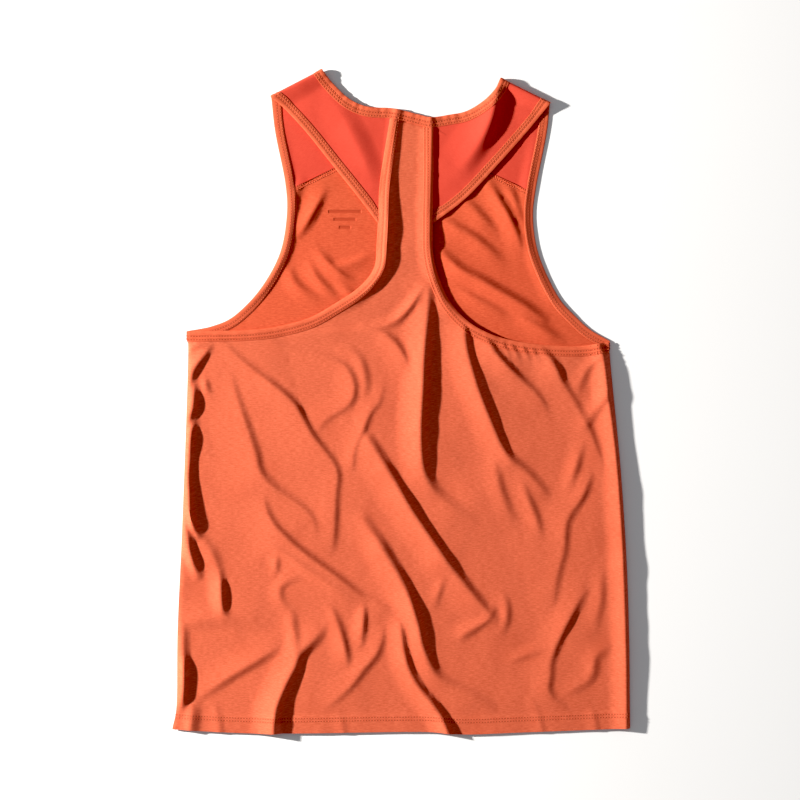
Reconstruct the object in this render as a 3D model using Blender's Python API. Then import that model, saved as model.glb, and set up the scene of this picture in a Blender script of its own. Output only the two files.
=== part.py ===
"""A running singlet laid flat with its back uppermost, as nine cut pieces.

Sizes and places are in millimetres and the meshes are in metres. X runs across the garment, Y from the
hem towards the shoulders, and Z up. The origin is on the surface under the middle of the garment. The
front lies on the surface, the back lies on the front, and the yokes and the bindings fold over at the
shoulders. Each piece is a closed wall that follows the folds of its layer.
"""

import math

import bpy
import numpy as np
from mathutils.geometry import delaunay_2d_cdt

# ------------------------------------------------------------------ driving dimensions, in millimetres
METRE = 1000.0
SEAM_GAP = 0.3
PANEL_WALL = 1.4
YOKE_WALL = 1.4
BINDING_WALL = 1.8
BACK_LEVEL = 2.2  # underside of the back layer where it lies on the front layer
BACK_BINDING = 12.0
FRONT_BINDING = 10.5
NECK_BINDING = 11.5
CREASE_BINDING = 12.5  # the front binding's width along the slanting shoulder crease
BEND_REACH = 2.0  # how far the middle of a wall swings out as it folds over the shoulder
TUCK_LENGTH = 15.0  # the front binding's slanting end, along the racer strip
CREASE_INSET = BEND_REACH + BINDING_WALL / 2
FRONT_INSET = 1.0  # the front panel ends this far inside the back panel's edges
TURN_LENGTH = 26.0  # a binding's rows turn to meet its end within this length
SIDE_ROLL = 4.0  # the back layer comes down to the front layer within this distance of the side seams
YOKE_TIP = 5.0  # the yoke stops this far above the place where its two edges would meet

GARMENT_CORNERS = ((-265, -380), (265, 390))

OUTLINE_STEP = 11.0
FOLD_STEP = 6.0
CREST_STEP = 14.6
FOOT_STEP = 17.0
GENTLE_POWER = 1.7  # bends a fold's gentle side up towards its crest
GRID_STEP = 28.1
FRONT_GRID_STEP = 34.0
LEAST_SPACING = 7.5
OUTLINE_CLEARANCE = 5.2  # between a panel's outline and its inner points
SHORTEST_EDGE = 1.0  # a line's own vertices are dropped this close to a new end
SIDE_CLEARANCE = 3.0  # between the last vertex of a side seam and the binding above it
CURVE_STEPS = 12  # points worked out between two table places
SHARP_EDGE = 50  # degrees
BEND_STEPS = 5
YOKE_COLUMNS = 6
BINDING_COLUMNS = 3

# ------------------------------------------------------------------ outline tables: x, y
HEM = ((-260, -372), (-212, -375), (-142, -377), (20, -375), (70, -378), (130, -376), (260, -371))
BACK_NECK = (
    (-78, 362), (-59, 344), (-38, 335), (-9, 333), (20, 326), (34, 323),
    (55, 326), (74, 330), (93, 341), (106, 354),
)
FRONT_NECK = ((99, 331), (78, 292), (46, 265), (11, 255), (-24, 265), (-56, 292), (-76, 331))

# hand: +1 where the armhole lies towards -X. crease: the shoulder fold, from the armhole to the neck.
# front_armhole: free edge, from the side seam up to the crease. back_armhole: free edge, from the neck
# down the racer strip and out to the side seam. yoke_edge: free edge of the front binding after it has
# folded over the shoulder, down to the racer strip. front_seam: yoke to front panel, armhole end first.
SIDES = {
    "left": {
        "hand": 1,
        "crease": ((-149, 347.5), (-90, 378)),
        "side": ((-244, 80), (-242, 60), (-244, -16), (-249, -148), (-254, -260), (-255, -342), (-260, -372)),
        "front_armhole": (
            (-244, 80), (-214, 86), (-189, 98), (-160, 128),
            (-138, 168), (-130, 212), (-132, 250), (-143, 305),
        ),
        "back_armhole": (
            (-13, 321), (-24, 252), (-26, 215), (-28, 180), (-31, 152), (-48, 130),
            (-76, 111), (-105, 95), (-142, 85), (-180, 81), (-243, 80),
        ),
        "yoke_edge": ((-134, 334), (-108, 306), (-80, 271), (-48, 231), (-26, 203)),
        "front_seam": ((-121, 244), (-60, 272)),
    },
    "right": {
        "hand": -1,
        "crease": ((170, 340), (113, 368)),
        "side": ((237, 68), (238, 40), (249, -73), (256, -179), (259, -271), (260, -371)),
        "front_armhole": (
            (237, 69), (216, 81), (199, 96), (178, 120), (157, 165), (150, 205), (153, 242), (165, 303),
        ),
        "back_armhole": (
            (37, 314), (37, 256), (36, 200), (37, 165), (45, 136), (57, 112),
            (78, 90), (104, 76), (130, 69), (159, 65), (200, 63), (236, 68),
        ),
        "yoke_edge": ((142, 305), (112, 271), (74, 231), (37, 202)),
        "front_seam": ((148, 240), (76, 272)),
    },
}

# ------------------------------------------------------------------ fold tables
# name; width of the steep side, on the left hand of someone who walks along the crest; width of the gentle
# side; the crest as x, y and height
BACK_FOLDS = (
    ("centre", 12, 27, (
        (31, 128, 3.1), (29, 100, 4.8), (27, 75, 6.4), (25, 45, 8.0), (24, 15, 8.4), (22, -20, 8.0),
        (22, -52, 6.8), (25, -78, 5.0), (31, -93, 4.0), (41, -106, 2.2), (58, -121, 1.4), (78, -133, 0.6),
    )),
    ("right_slope", 9, 25, (
        (71, 80, 4.0), (74, 58, 4.2), (81, 32, 5.0), (90, 5, 5.2), (101, -22, 5.0), (112, -48, 4.2),
        (122, -64, 3.8), (134, -74, 2.5), (148, -87, 2.2), (158, -98, 1.8), (165, -108, 0.5),
    )),
    ("long_diagonal", 10, 30, (
        (-46, -36, 1.0), (-36, -46, 2.8), (-22, -68, 4.0), (-5, -96, 5.4), (15, -129, 6.0),
        (32, -154, 5.8), (50, -180, 5.2), (68, -204, 4.2), (84, -224, 3.8), (97, -238, 3.0),
        (104, -246, 2.0),
    )),
    ("diagonal_hook", 9, 16, (
        (103, -238, 2.0), (98, -247, 3.0), (84, -256, 2.5), (72, -263, 1.8), (64, -270, 0.5),
    )),
    ("low_diagonal", 11, 26, (
        (-44, -134, 1.5), (-36, -146, 2.8), (-24, -163, 4.0), (-11, -185, 4.4), (2, -208, 5.6),
        (12, -232, 6.6), (19, -255, 6.8), (24, -278, 5.8), (31, -297, 4.4), (40, -312, 3.2),
        (55, -322, 2.0), (75, -332, 1.5), (100, -345, 0.8),
    )),
    ("low_short", 9, 20, (
        (-2, -250, 1.9), (0, -264, 4.2), (3, -285, 4.4), (10, -308, 4.8), (22, -328, 4.8),
        (36, -345, 5.4), (46, -360, 6.4), (54, -378, 6.6),
    )),
    ("hem_slit", 11, 26, (
        (-88, -256, 1.0), (-100, -270, 3.0), (-116, -286, 4.2), (-122, -302, 5.4), (-132, -322, 6.8),
        (-141, -345, 8.0), (-144, -362, 8.4), (-145, -378, 8.2),
    )),
    ("left_upper", 7, 50, (
        (-198, 62, 0.8), (-183, 47, 1.5), (-163, 31, 2.2), (-143, 16, 2.8), (-123, -2, 3.3),
        (-112, -20, 3.0), (-102, -38, 3.0), (-88, -56, 2.5), (-77, -71, 2.1), (-73, -84, 1.9),
        (-75, -105, 1.8), (-76, -130, 2.0), (-77, -150, 1.6), (-79, -164, 0.6),
    )),
    ("left_lower", 9, 44, (
        (-196, 40, 0.6), (-189, 12, 1.6), (-182, -12, 1.9), (-174, -36, 2.2), (-166, -60, 2.6),
        (-162, -78, 2.9), (-150, -94, 2.4), (-134, -107, 2.2), (-116, -119, 2.1), (-103, -131, 2.0),
        (-98, -144, 1.2), (-97, -156, 0.4),
    )),
    ("left_third", 8, 40, (
        (-157, -104, 1.0), (-153, -124, 2.2), (-144, -141, 2.9), (-130, -156, 3.4), (-112, -172, 3.8),
        (-90, -188, 3.8), (-70, -203, 3.4), (-52, -217, 2.4), (-38, -225, 1.5), (-18, -234, 1.1),
        (-4, -243, 0.5),
    )),
    ("curl", 7, 28, (
        (-148, 66, 0.5), (-120, 58, 0.9), (-90, 50, 1.1), (-68, 42, 1.6), (-58, 31, 2.0), (-54, 17, 2.2),
        (-56, 4, 2.0), (-64, -6, 1.6), (-76, -13, 1.3), (-88, -22, 1.0), (-95, -32, 0.4),
    )),
    ("nick", 6, 16, (
        (-22, 14, 0.5), (-26, 0, 1.0), (-34, -10, 1.3), (-40, -22, 1.8), (-44, -34, 1.9), (-50, -46, 1.5),
        (-54, -60, 1.2), (-56, -76, 0.5),
    )),
    ("neck_root", 8, 24, (
        (-46, 84, 0.8), (-26, 80, 1.6), (-13, 71, 2.8), (-3, 61, 3.2), (4, 49, 2.8), (8, 37, 1.8),
        (9, 26, 0.5),
    )),
    ("strip_root", 8, 10, (
        (25, 130, 2.0), (14, 113, 3.4), (4, 101, 3.4), (-7, 92, 2.4), (-22, 86, 1.4), (-38, 83, 0.4),
    )),
    ("right_upper", 7, 22, (
        (98, 68, 2.0), (106, 56, 3.8), (118, 42, 4.0), (129, 31, 3.5), (141, 20, 2.2), (152, 9, 1.6),
        (160, -2, 1.2), (165, -12, 0.4),
    )),
    ("right_branch", 8, 28, (
        (158, 58, 1.2), (168, 48, 3.2), (176, 36, 4.0), (181, 24, 2.8), (189, 11, 2.2), (197, -2, 1.7),
        (206, -20, 1.6), (214, -36, 1.8), (221, -52, 1.7), (227, -68, 1.2), (230, -82, 0.5),
    )),
    ("right_corner", 9, 12, (
        (232, 54, 2.0), (224, 48, 2.5), (212, 38, 2.0), (205, 26, 1.5), (199, 12, 0.5),
    )),
    ("right_lower", 8, 32, (
        (214, -84, 1.0), (209, -98, 2.1), (203, -110, 2.4), (194, -123, 2.1), (187, -136, 2.0),
        (185, -152, 2.1), (184, -168, 1.8), (179, -186, 1.5), (175, -204, 1.3), (173, -222, 0.9),
        (171, -236, 0.4),
    )),
    ("right_foot", 8, 28, (
        (207, -216, 0.8), (199, -230, 2.2), (190, -247, 3.2), (181, -264, 2.9), (174, -280, 2.5),
        (169, -296, 2.0), (168, -312, 1.8), (166, -325, 1.9), (171, -337, 1.6), (181, -345, 1.0),
        (188, -352, 0.4),
    )),
    ("foot_curl", 10, 16, (
        (240, -276, 0.4), (228, -282, 1.1), (219, -292, 1.9), (217, -306, 2.0), (210, -317, 1.5),
        (198, -324, 1.0), (186, -330, 0.4),
    )),
    ("low_left", 8, 18, (
        (-82, -230, 0.5), (-75, -246, 1.9), (-70, -260, 2.6), (-66, -274, 2.8), (-63, -288, 2.2),
        (-61, -302, 0.6),
    )),
    ("low_dash", 7, 14, (
        (-43, -230, 1.0), (-43, -242, 2.8), (-44, -256, 2.6), (-45, -268, 1.6), (-46, -280, 0.5),
    )),
    ("low_curve", 8, 22, (
        (-21, -260, 0.8), (-24, -274, 1.8), (-31, -289, 2.1), (-43, -303, 2.1), (-55, -319, 1.9),
        (-68, -332, 1.4), (-82, -343, 0.6),
    )),
    ("low_sweep", 9, 26, (
        (-138, -279, 0.8), (-152, -286, 2.0), (-170, -297, 2.5), (-187, -307, 2.5), (-203, -317, 2.1),
        (-216, -326, 1.5), (-228, -334, 0.5),
    )),
    ("left_shelf", 16, 22, (
        (-160, -250, 0.4), (-182, -247, 1.2), (-206, -246, 1.8), (-230, -247, 1.8), (-246, -250, 1.2),
    )),
    ("left_spot", 8, 16, (
        (-216, -168, 0.3), (-209, -190, 1.0), (-206, -201, 3.0), (-205, -210, 5.0), (-204, -228, 5.0),
        (-202, -238, 3.6), (-196, -247, 1.2), (-186, -258, 0.4),
    )),
    ("roll_first", 8, 14, (
        (-218, 62, 1.5), (-224, 53, 3.4), (-231, 44, 4.2), (-237, 34, 4.0), (-240, 22, 2.0),
    )),
    ("roll_second", 9, 8, (
        (-236, 18, 2.0), (-236, 6, 5.0), (-237, -6, 6.0), (-240, -16, 4.5), (-242, -24, 2.0),
    )),
    ("roll_long", 9, 7, (
        (-237, -24, 2.4), (-239, -36, 5.8), (-240, -48, 6.2), (-241, -66, 5.0), (-242, -84, 5.4),
        (-241, -104, 6.6), (-240, -124, 7.8), (-237, -138, 7.2), (-232, -150, 2.4),
    )),
    ("roll_third", 9, 8, (
        (-244, -136, 1.5), (-243, -152, 3.4), (-241, -168, 5.8), (-237, -181, 6.0), (-231, -196, 2.0),
    )),
    ("roll_low", 9, 7, (
        (-248, -248, 0.6), (-248, -266, 2.0), (-248, -284, 3.0), (-247, -298, 6.2), (-247, -320, 7.0),
        (-248, -336, 5.8), (-249, -347, 1.4),
    )),
    ("roll_corner", 13, 10, ((-238, -342, 0.6), (-238, -354, 2.6), (-239, -366, 3.2), (-240, -376, 2.4))),
    ("right_edge", 7, 19, (
        (224, 64, 3.4), (230, 45, 6.0), (235, 5, 6.2), (240, -30, 5.6), (245, -73, 5.4), (249, -125, 5.4),
        (252, -179, 5.6), (255, -271, 5.6), (256, -330, 5.4), (256, -376, 4.4),
    )),
    ("strip_left", 10, 9, (
        (-5, 332, 2.2), (-10, 290, 2.6), (-13, 250, 3.6), (-15, 222, 5.2), (-15, 200, 6.4),
        (-16, 180, 6.2), (-20, 152, 5.4), (-33, 132, 4.4), (-47, 120, 3.0), (-66, 108, 1.8),
        (-92, 96, 0.8),
    )),
    ("strip_right", 8, 14, (
        (34, 322, 2.4), (33, 285, 2.8), (32, 250, 3.0), (31, 200, 3.6), (32, 168, 3.6), (39, 134, 3.2),
        (52, 108, 2.4), (75, 88, 1.5), (105, 72, 0.7),
    )),
    ("shoulder_left", 22, 22, ((-90, 378, 4.6), (-120, 362, 4.0), (-149, 347.5, 3.4))),
    ("shoulder_right", 20, 20, ((170, 340, 4.0), (140, 355, 4.6), (113, 368, 5.2))),
    ("yoke_left", 20, 26, (
        (-84, 352, 0.3), (-70, 330, 1.4), (-56, 305, 2.6), (-42, 275, 2.2), (-32, 248, 0.8),
    )),
    ("yoke_right", 16, 32, (
        (112, 360, 5.0), (107, 343, 8.4), (101, 320, 8.8), (92, 300, 6.8), (80, 281, 3.4), (66, 264, 0.8),
    )),
)
FRONT_FOLDS = (
    ("binding_left", 9, 9, (
        (-136, 305, 0.2), (-128, 262, 1.0), (-125, 230, 1.9), (-125, 205, 2.4), (-132, 170, 2.4),
        (-150, 136, 2.0), (-170, 114, 1.2), (-184, 103, 0.5),
    )),
    ("binding_right", 9, 9, (
        (153, 300, 0.5), (144, 255, 1.5), (140, 225, 1.7), (141, 190, 1.8), (148, 163, 1.8),
        (167, 122, 1.6), (182, 106, 0.9), (192, 98, 0.4),
    )),
    ("chest_left", 8, 16, ((-88, 240, 0.8), (-97, 222, 3.2), (-107, 204, 3.4), (-117, 190, 1.0))),
    ("chest_low", 8, 18, ((-96, 172, 0.6), (-84, 158, 2.6), (-70, 146, 2.8), (-58, 138, 1.0))),
    ("window_high", 9, 18, (
        (98, 250, 0.8), (110, 230, 3.4), (121, 212, 4.2), (131, 190, 3.2), (137, 172, 1.0),
    )),
    ("window_long", 10, 20, (
        (46, 168, 2.0), (66, 150, 4.6), (90, 137, 5.2), (116, 122, 5.2), (140, 108, 4.4), (160, 93, 2.0),
    )),
)

# ------------------------------------------------------------------ colours: linear red, green, blue
KNIT = (0.80, 0.15, 0.060)
WOVEN = (0.90, 0.10, 0.050)
TRIM = (0.72, 0.13, 0.065)
FINISHES = {"knit": (KNIT, 0.75), "woven": (WOVEN, 0.60), "trim": (TRIM, 0.70)}


# ------------------------------------------------------------------ lines in plan
def arc_lengths(line):
    return np.concatenate([[0.0], np.cumsum(np.linalg.norm(np.diff(line, axis=0), axis=1))])


def along_line(line, places):
    """The points at these arc lengths."""
    lengths = arc_lengths(line)
    return np.column_stack([np.interp(places, lengths, values) for values in line.T])


def smooth_line(points, step):
    """A Catmull-Rom curve through the points, as vertices about one step apart."""
    points = np.array(points, float)
    padded = np.vstack([2 * points[0] - points[1], points, 2 * points[-1] - points[-2]])
    dense = []
    for before, start, end, after in zip(padded, padded[1:], padded[2:], padded[3:]):
        for t in np.linspace(0, 1, CURVE_STEPS, endpoint=False):
            bend = 2 * before - 5 * start + 4 * end - after
            twist = 3 * start - before - 3 * end + after
            dense.append(0.5 * (2 * start + (end - before) * t + bend * t**2 + twist * t**3))
    dense.append(points[-1])
    dense = np.array(dense)
    total = arc_lengths(dense)[-1]
    return along_line(dense, np.linspace(0, total, max(2, round(total / step) + 1)))


def left_normals(line):
    tangents = np.gradient(line, axis=0)
    tangents /= np.linalg.norm(tangents, axis=1)[:, None]
    return np.column_stack([-tangents[:, 1], tangents[:, 0]])


def shifted(line, distance):
    """The line moved to its left hand."""
    return line + left_normals(line) * distance


def measured_from(points, line):
    """Each point's distance to the line, how far along the line that is, and its side: +1 abreast of the
    line on its left hand, -1 on its right hand, and between them past its ends."""
    steps = np.diff(line, axis=0)
    offsets = points[:, None] - line[None, :-1]
    share = np.clip((offsets * steps).sum(2) / (steps**2).sum(1), 0, 1)
    gaps = offsets - share[..., None] * steps
    distances = np.linalg.norm(gaps, axis=2)
    nearest = distances.argmin(1)
    rows = np.arange(len(points))
    gap, step = gaps[rows, nearest], steps[nearest]
    distance = distances[rows, nearest]
    lengths = arc_lengths(line)
    steps_long = np.diff(lengths)[nearest]
    side = (step[:, 0] * gap[:, 1] - step[:, 1] * gap[:, 0]) / (steps_long * np.maximum(distance, 1e-6))
    return distance, lengths[nearest] + share[rows, nearest] * steps_long, side


def place_on(line, point):
    """The arc length at which the line passes nearest to the point."""
    return float(measured_from(np.array([point], float), line)[1][0])


def stretch(line, start, end):
    """The part of a line between two arc lengths, with the line's own vertices."""
    lengths = arc_lengths(line)
    inner = line[(lengths > start + SHORTEST_EDGE) & (lengths < end - SHORTEST_EDGE)]
    return np.vstack([along_line(line, [start]), inner, along_line(line, [end])])


def matched(line, guide):
    """Points on a line at the same shares of its length as the guide's vertices."""
    shares = arc_lengths(guide) / arc_lengths(guide)[-1]
    return along_line(line, shares * arc_lengths(line)[-1])


# ------------------------------------------------------------------ heights
def eased(share):
    share = np.clip(share, 0, 1)
    return share * share * (3 - 2 * share)


def fold_height(points, fold):
    _, steep, gentle, crest = fold
    line = smooth_line(crest, FOLD_STEP)
    plan = line[:, :2]
    distance, along, side = measured_from(points, plan)
    steeply = eased(1 - distance / steep)
    gently = np.clip(1 - distance / gentle, 0, 1) ** GENTLE_POWER
    share = np.clip((1 + side) / 2, 0, 1)
    height = np.interp(along, arc_lengths(plan), np.maximum(line[:, 2], 0))
    return height * (steeply * share + gently * (1 - share))


def relief(points, folds):
    """The height of all the folds at each place: it follows the highest one and rounds the valleys."""
    points = np.asarray(points, float).reshape(-1, 2)
    return np.cbrt(sum(fold_height(points, fold) ** 3 for fold in folds))


def front_mid(plan, wall):
    """The middle of a front-layer wall over places in plan."""
    plan = np.asarray(plan, float)
    height = wall / 2 + relief(plan, FRONT_FOLDS).reshape(plan.shape[:-1])
    return np.concatenate([plan, height[..., None]], axis=-1)


def side_roll(points):
    """The share of its height that the back layer keeps near the side seams, as a round edge."""
    lines = [smooth_line(table["side"], OUTLINE_STEP) for table in SIDES.values()]
    distance = np.min([measured_from(points, line)[0] for line in lines], axis=0)
    return np.sqrt(1 - (1 - np.clip(distance / SIDE_ROLL, 0, 1)) ** 2)


def back_mid(plan, wall):
    """The middle of a back-layer wall over places in plan."""
    plan = np.asarray(plan, float)
    places = plan.reshape(-1, 2)
    lift = (relief(places, BACK_FOLDS) * side_roll(places)).reshape(plan.shape[:-1])
    return np.concatenate([plan, (BACK_LEVEL + wall / 2 + lift)[..., None]], axis=-1)


# ------------------------------------------------------------------ solids
def material(name, finish):
    colour, roughness = FINISHES[finish]
    surface = bpy.data.materials.new(name)
    surface.use_nodes = True
    shader = surface.node_tree.nodes["Principled BSDF"]
    shader.inputs["Base Color"].default_value = (*colour, 1)
    shader.inputs["Roughness"].default_value = roughness
    return surface


def add_piece(name, points, triangles, finish):
    """A closed mesh with its faces turned outwards."""
    corners = points[triangles]
    volume = np.einsum("ij,ij->", corners[:, 0], np.cross(corners[:, 1], corners[:, 2]))
    if volume < 0:
        triangles = triangles[:, ::-1]
    mesh = bpy.data.meshes.new(name)
    mesh.from_pydata((points / METRE).tolist(), [], triangles.tolist())
    mesh.shade_smooth()
    mesh.set_sharp_from_angle(angle=math.radians(SHARP_EDGE))
    mesh.materials.append(material(name, finish))
    piece = bpy.data.objects.new(name, mesh)
    bpy.context.scene.collection.objects.link(piece)
    return piece


def halved(quads):
    return np.vstack([quads[:, [0, 1, 2]], quads[:, [0, 2, 3]]])


def loft(name, rows, outward, wall, finish, closed=False):
    """A wall through rows of points that lie in its middle; outward holds each row's outer direction."""
    count, columns = rows.shape[:2]
    half = outward[:, None] * wall / 2
    skins = np.stack([rows + half, rows - half])
    index = np.arange(2 * count * columns).reshape(2, count, columns)
    if closed:
        index = np.concatenate([index, index[:, :1]], axis=1)
    outer, inner = index

    def strip(first, second):
        return np.column_stack([first[:-1], first[1:], second[1:], second[:-1]])

    quads = [strip(outer[:, j], outer[:, j + 1]) for j in range(columns - 1)]
    quads += [strip(inner[:, j + 1], inner[:, j]) for j in range(columns - 1)]
    quads += [strip(outer[:, -1], inner[:, -1]), strip(inner[:, 0], outer[:, 0])]
    if not closed:
        quads += [strip(outer[0], inner[0]), strip(inner[-1], outer[-1])]
    return add_piece(name, skins.reshape(-1, 3), halved(np.vstack(quads)), finish)


def inside(points, outline):
    """Whether each point lies inside the closed outline."""
    after = np.roll(outline, -1, axis=0)
    x, y = points[:, :1], points[:, 1:]
    spans = (outline[:, 1] > y) != (after[:, 1] > y)
    rise = after[:, 1] - outline[:, 1]
    slope = (after[:, 0] - outline[:, 0]) / np.where(rise == 0, 1, rise)
    crossings = spans & (x < outline[:, 0] + slope * (y - outline[:, 1]))
    return crossings.sum(1) % 2 == 1


def spaced(candidates, outline, least):
    """The candidates inside the outline, first come first kept, at least so far apart."""
    ring = np.vstack([outline, outline[:1]])
    clear = inside(candidates, outline) & (measured_from(candidates, ring)[0] > OUTLINE_CLEARANCE)
    kept = np.empty((0, 2))
    for point in candidates[clear]:
        if not len(kept) or ((kept - point) ** 2).sum(1).min() > least**2:
            kept = np.vstack([kept, point])
    return kept


def fold_points(folds):
    """Places on the crests of the folds and at the feet of their slopes."""
    crests, feet = [], []
    for _, steep, gentle, crest in folds:
        crests.append(smooth_line(crest, CREST_STEP)[:, :2])
        line = smooth_line(crest, FOOT_STEP)[:, :2]
        feet += [shifted(line, steep), shifted(line, -gentle), shifted(line, -gentle / 2)]
    return np.vstack(crests + feet)


def grid_points(step):
    """A staggered grid over the whole garment."""
    low, high = GARMENT_CORNERS
    rows = np.arange(low[1], high[1], step * math.sqrt(0.75))
    return np.array([
        (x + (number % 2) * step / 2, y)
        for number, y in enumerate(rows)
        for x in np.arange(low[0], high[0], step)
    ])


def panel(name, outline, places, middle):
    """A wall over an outline, between two equal skins."""
    corners = np.vstack([outline, places])
    count = len(outline)
    edges = [(i, (i + 1) % count) for i in range(count)]
    vertices, _, faces, *_ = delaunay_2d_cdt(corners.tolist(), edges, [], 1, 0.001)
    plan = np.array([tuple(v) for v in vertices])
    faces = np.array(faces)
    first, second = plan[faces[:, 1]] - plan[faces[:, 0]], plan[faces[:, 2]] - plan[faces[:, 0]]
    turned = first[:, 0] * second[:, 1] - first[:, 1] * second[:, 0] < 0
    faces[turned] = faces[turned][:, ::-1]
    mid = middle(plan, PANEL_WALL)
    half = np.array([0, 0, PANEL_WALL / 2])
    below = faces[:, ::-1] + len(plan)
    sides = np.vstack([faces[:, [0, 1]], faces[:, [1, 2]], faces[:, [2, 0]]])
    known = {tuple(edge) for edge in sides.tolist()}
    rim = np.array([edge for edge in sides.tolist() if (edge[1], edge[0]) not in known])
    walls = np.column_stack([rim[:, 1], rim[:, 0], rim[:, 0] + len(plan), rim[:, 1] + len(plan)])
    points = np.vstack([mid + half, mid - half])
    return add_piece(name, points, np.vstack([faces, below, halved(walls)]), "knit")


# ------------------------------------------------------------------ bindings in plan
def unit(vector):
    vector = np.array(vector, float)
    return vector / np.linalg.norm(vector)


def crease_frame(side):
    """The shoulder crease moved in to where the walls start to bend: its ends, direction and outer side."""
    armhole, neck = (np.array(end, float) for end in SIDES[side]["crease"])
    direction = unit(neck - armhole)
    outer = SIDES[side]["hand"] * np.array([-direction[1], direction[0]])
    return armhole - outer * CREASE_INSET, neck - outer * CREASE_INSET, direction, outer


def binding_rows(free_edge, width, first, last):
    """A binding in plan: its free edge and its seam edge. Width is to the left hand of the free edge.
    The first and last rows are the given vectors, and the rows near them turn gradually."""
    vectors = left_normals(free_edge) * width
    lengths = arc_lengths(free_edge)
    for vector, distance in ((first, lengths), (last, lengths[-1] - lengths)):
        weight = eased(1 - distance / TURN_LENGTH)[:, None]
        vectors = vectors * (1 - weight) + np.array(vector, float) * weight
    return free_edge, free_edge + vectors


def across(rows, columns):
    """Points across each row, from the free edge to the seam edge."""
    shares = np.linspace(0, 1, columns)[None, :, None]
    return rows[0][:, None] * (1 - shares) + rows[1][:, None] * shares


def bend_rows(from_row, to_row, outer, upwards):
    """The rows of a fold over the shoulder between two layers, with their outer directions."""
    angles = np.arange(1, BEND_STEPS) * math.pi / BEND_STEPS
    outer = np.array([*outer, 0])
    rows, directions = [], []
    for angle in angles:
        share = (1 - math.cos(angle)) / 2
        rows.append(from_row * (1 - share) + to_row * share + outer * BEND_REACH * math.sin(angle))
        rise = -math.cos(angle) if upwards else math.cos(angle)
        directions.append(outer * math.sin(angle) + np.array([0, 0, rise]))
    return np.array(rows), np.array(directions)


def facing(count, height):
    return np.tile([0.0, 0.0, float(height)], (count, 1))


def neck_plan():
    """The back and the front halves of the neck binding in plan, both as free edge and seam edge."""
    _, left_end, left_along, _ = crease_frame("left")
    _, right_end, right_along, _ = crease_frame("right")
    left_row, right_row = -left_along * NECK_BINDING, -right_along * NECK_BINDING
    back_edge = smooth_line([left_end, *BACK_NECK, right_end], OUTLINE_STEP)
    front_edge = smooth_line([right_end, *FRONT_NECK, left_end], OUTLINE_STEP)
    back = binding_rows(back_edge, -NECK_BINDING, left_row, right_row)
    front = binding_rows(front_edge, NECK_BINDING, right_row, left_row)
    return back, front


def side_plan(side, back_neck_seam):
    """The bindings of one side in plan: the front one below and above the crease, and the back one."""
    table = SIDES[side]
    hand = table["hand"]
    armhole_end, _, direction, _ = crease_frame(side)
    crease_row = direction * CREASE_BINDING
    down = np.array([0.0, -1.0])
    rising = smooth_line([*table["front_armhole"], armhole_end], OUTLINE_STEP)
    below = binding_rows(rising, -hand * FRONT_BINDING, down * FRONT_BINDING, crease_row)
    strip = smooth_line(table["back_armhole"], OUTLINE_STEP)
    seam_x, seam_y = back_neck_seam.T
    ahead = strip[0, 0] + hand * BACK_BINDING
    strip[0, 1] = np.interp(strip[0, 0], seam_x, seam_y) - 2 * SEAM_GAP
    top_row = (hand * BACK_BINDING, np.interp(ahead, seam_x, seam_y) - 2 * SEAM_GAP - strip[0, 1])
    back = binding_rows(strip, hand * BACK_BINDING, top_row, down * BACK_BINDING)
    beside = shifted(strip, -hand * 2 * SEAM_GAP)
    foot = place_on(beside, table["yoke_edge"][-1])
    tuck, tuck_top = along_line(beside, [foot, foot - TUCK_LENGTH])
    falling = smooth_line([armhole_end, *table["yoke_edge"][:-1], tuck], OUTLINE_STEP)
    above = binding_rows(falling, hand * FRONT_BINDING, crease_row, tuck_top - tuck)
    return {"below": below, "above": above, "back": back}


# ------------------------------------------------------------------ pieces
def make_neck_binding(back, front):
    back_rows = back_mid(across(back, BINDING_COLUMNS), BINDING_WALL)
    front_rows = front_mid(across(front, BINDING_COLUMNS), BINDING_WALL)
    over_right, turn_right = bend_rows(back_rows[-1], front_rows[0], crease_frame("right")[3], upwards=False)
    over_left, turn_left = bend_rows(front_rows[-1], back_rows[0], crease_frame("left")[3], upwards=True)
    rows = np.concatenate([back_rows, over_right, front_rows, over_left])
    up, down = facing(len(back_rows), 1), facing(len(front_rows), -1)
    outward = np.concatenate([up, turn_right, down, turn_left])
    loft("neck_binding", rows, outward, BINDING_WALL, "trim", closed=True)


def make_front_binding(side, plan):
    below = front_mid(across(plan["below"], BINDING_COLUMNS), BINDING_WALL)
    above = back_mid(across(plan["above"], BINDING_COLUMNS), BINDING_WALL)
    over, turn = bend_rows(below[-1], above[0], crease_frame(side)[3], upwards=True)
    rows = np.concatenate([below, over, above])
    outward = np.concatenate([facing(len(below), -1), turn, facing(len(above), 1)])
    loft(f"binding_front_{side}", rows, outward, BINDING_WALL, "trim")


def make_back_binding(side, plan):
    rows = back_mid(across(plan["back"], BINDING_COLUMNS), BINDING_WALL)
    loft(f"binding_back_{side}", rows, facing(len(rows), 1), BINDING_WALL, "trim")


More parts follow.
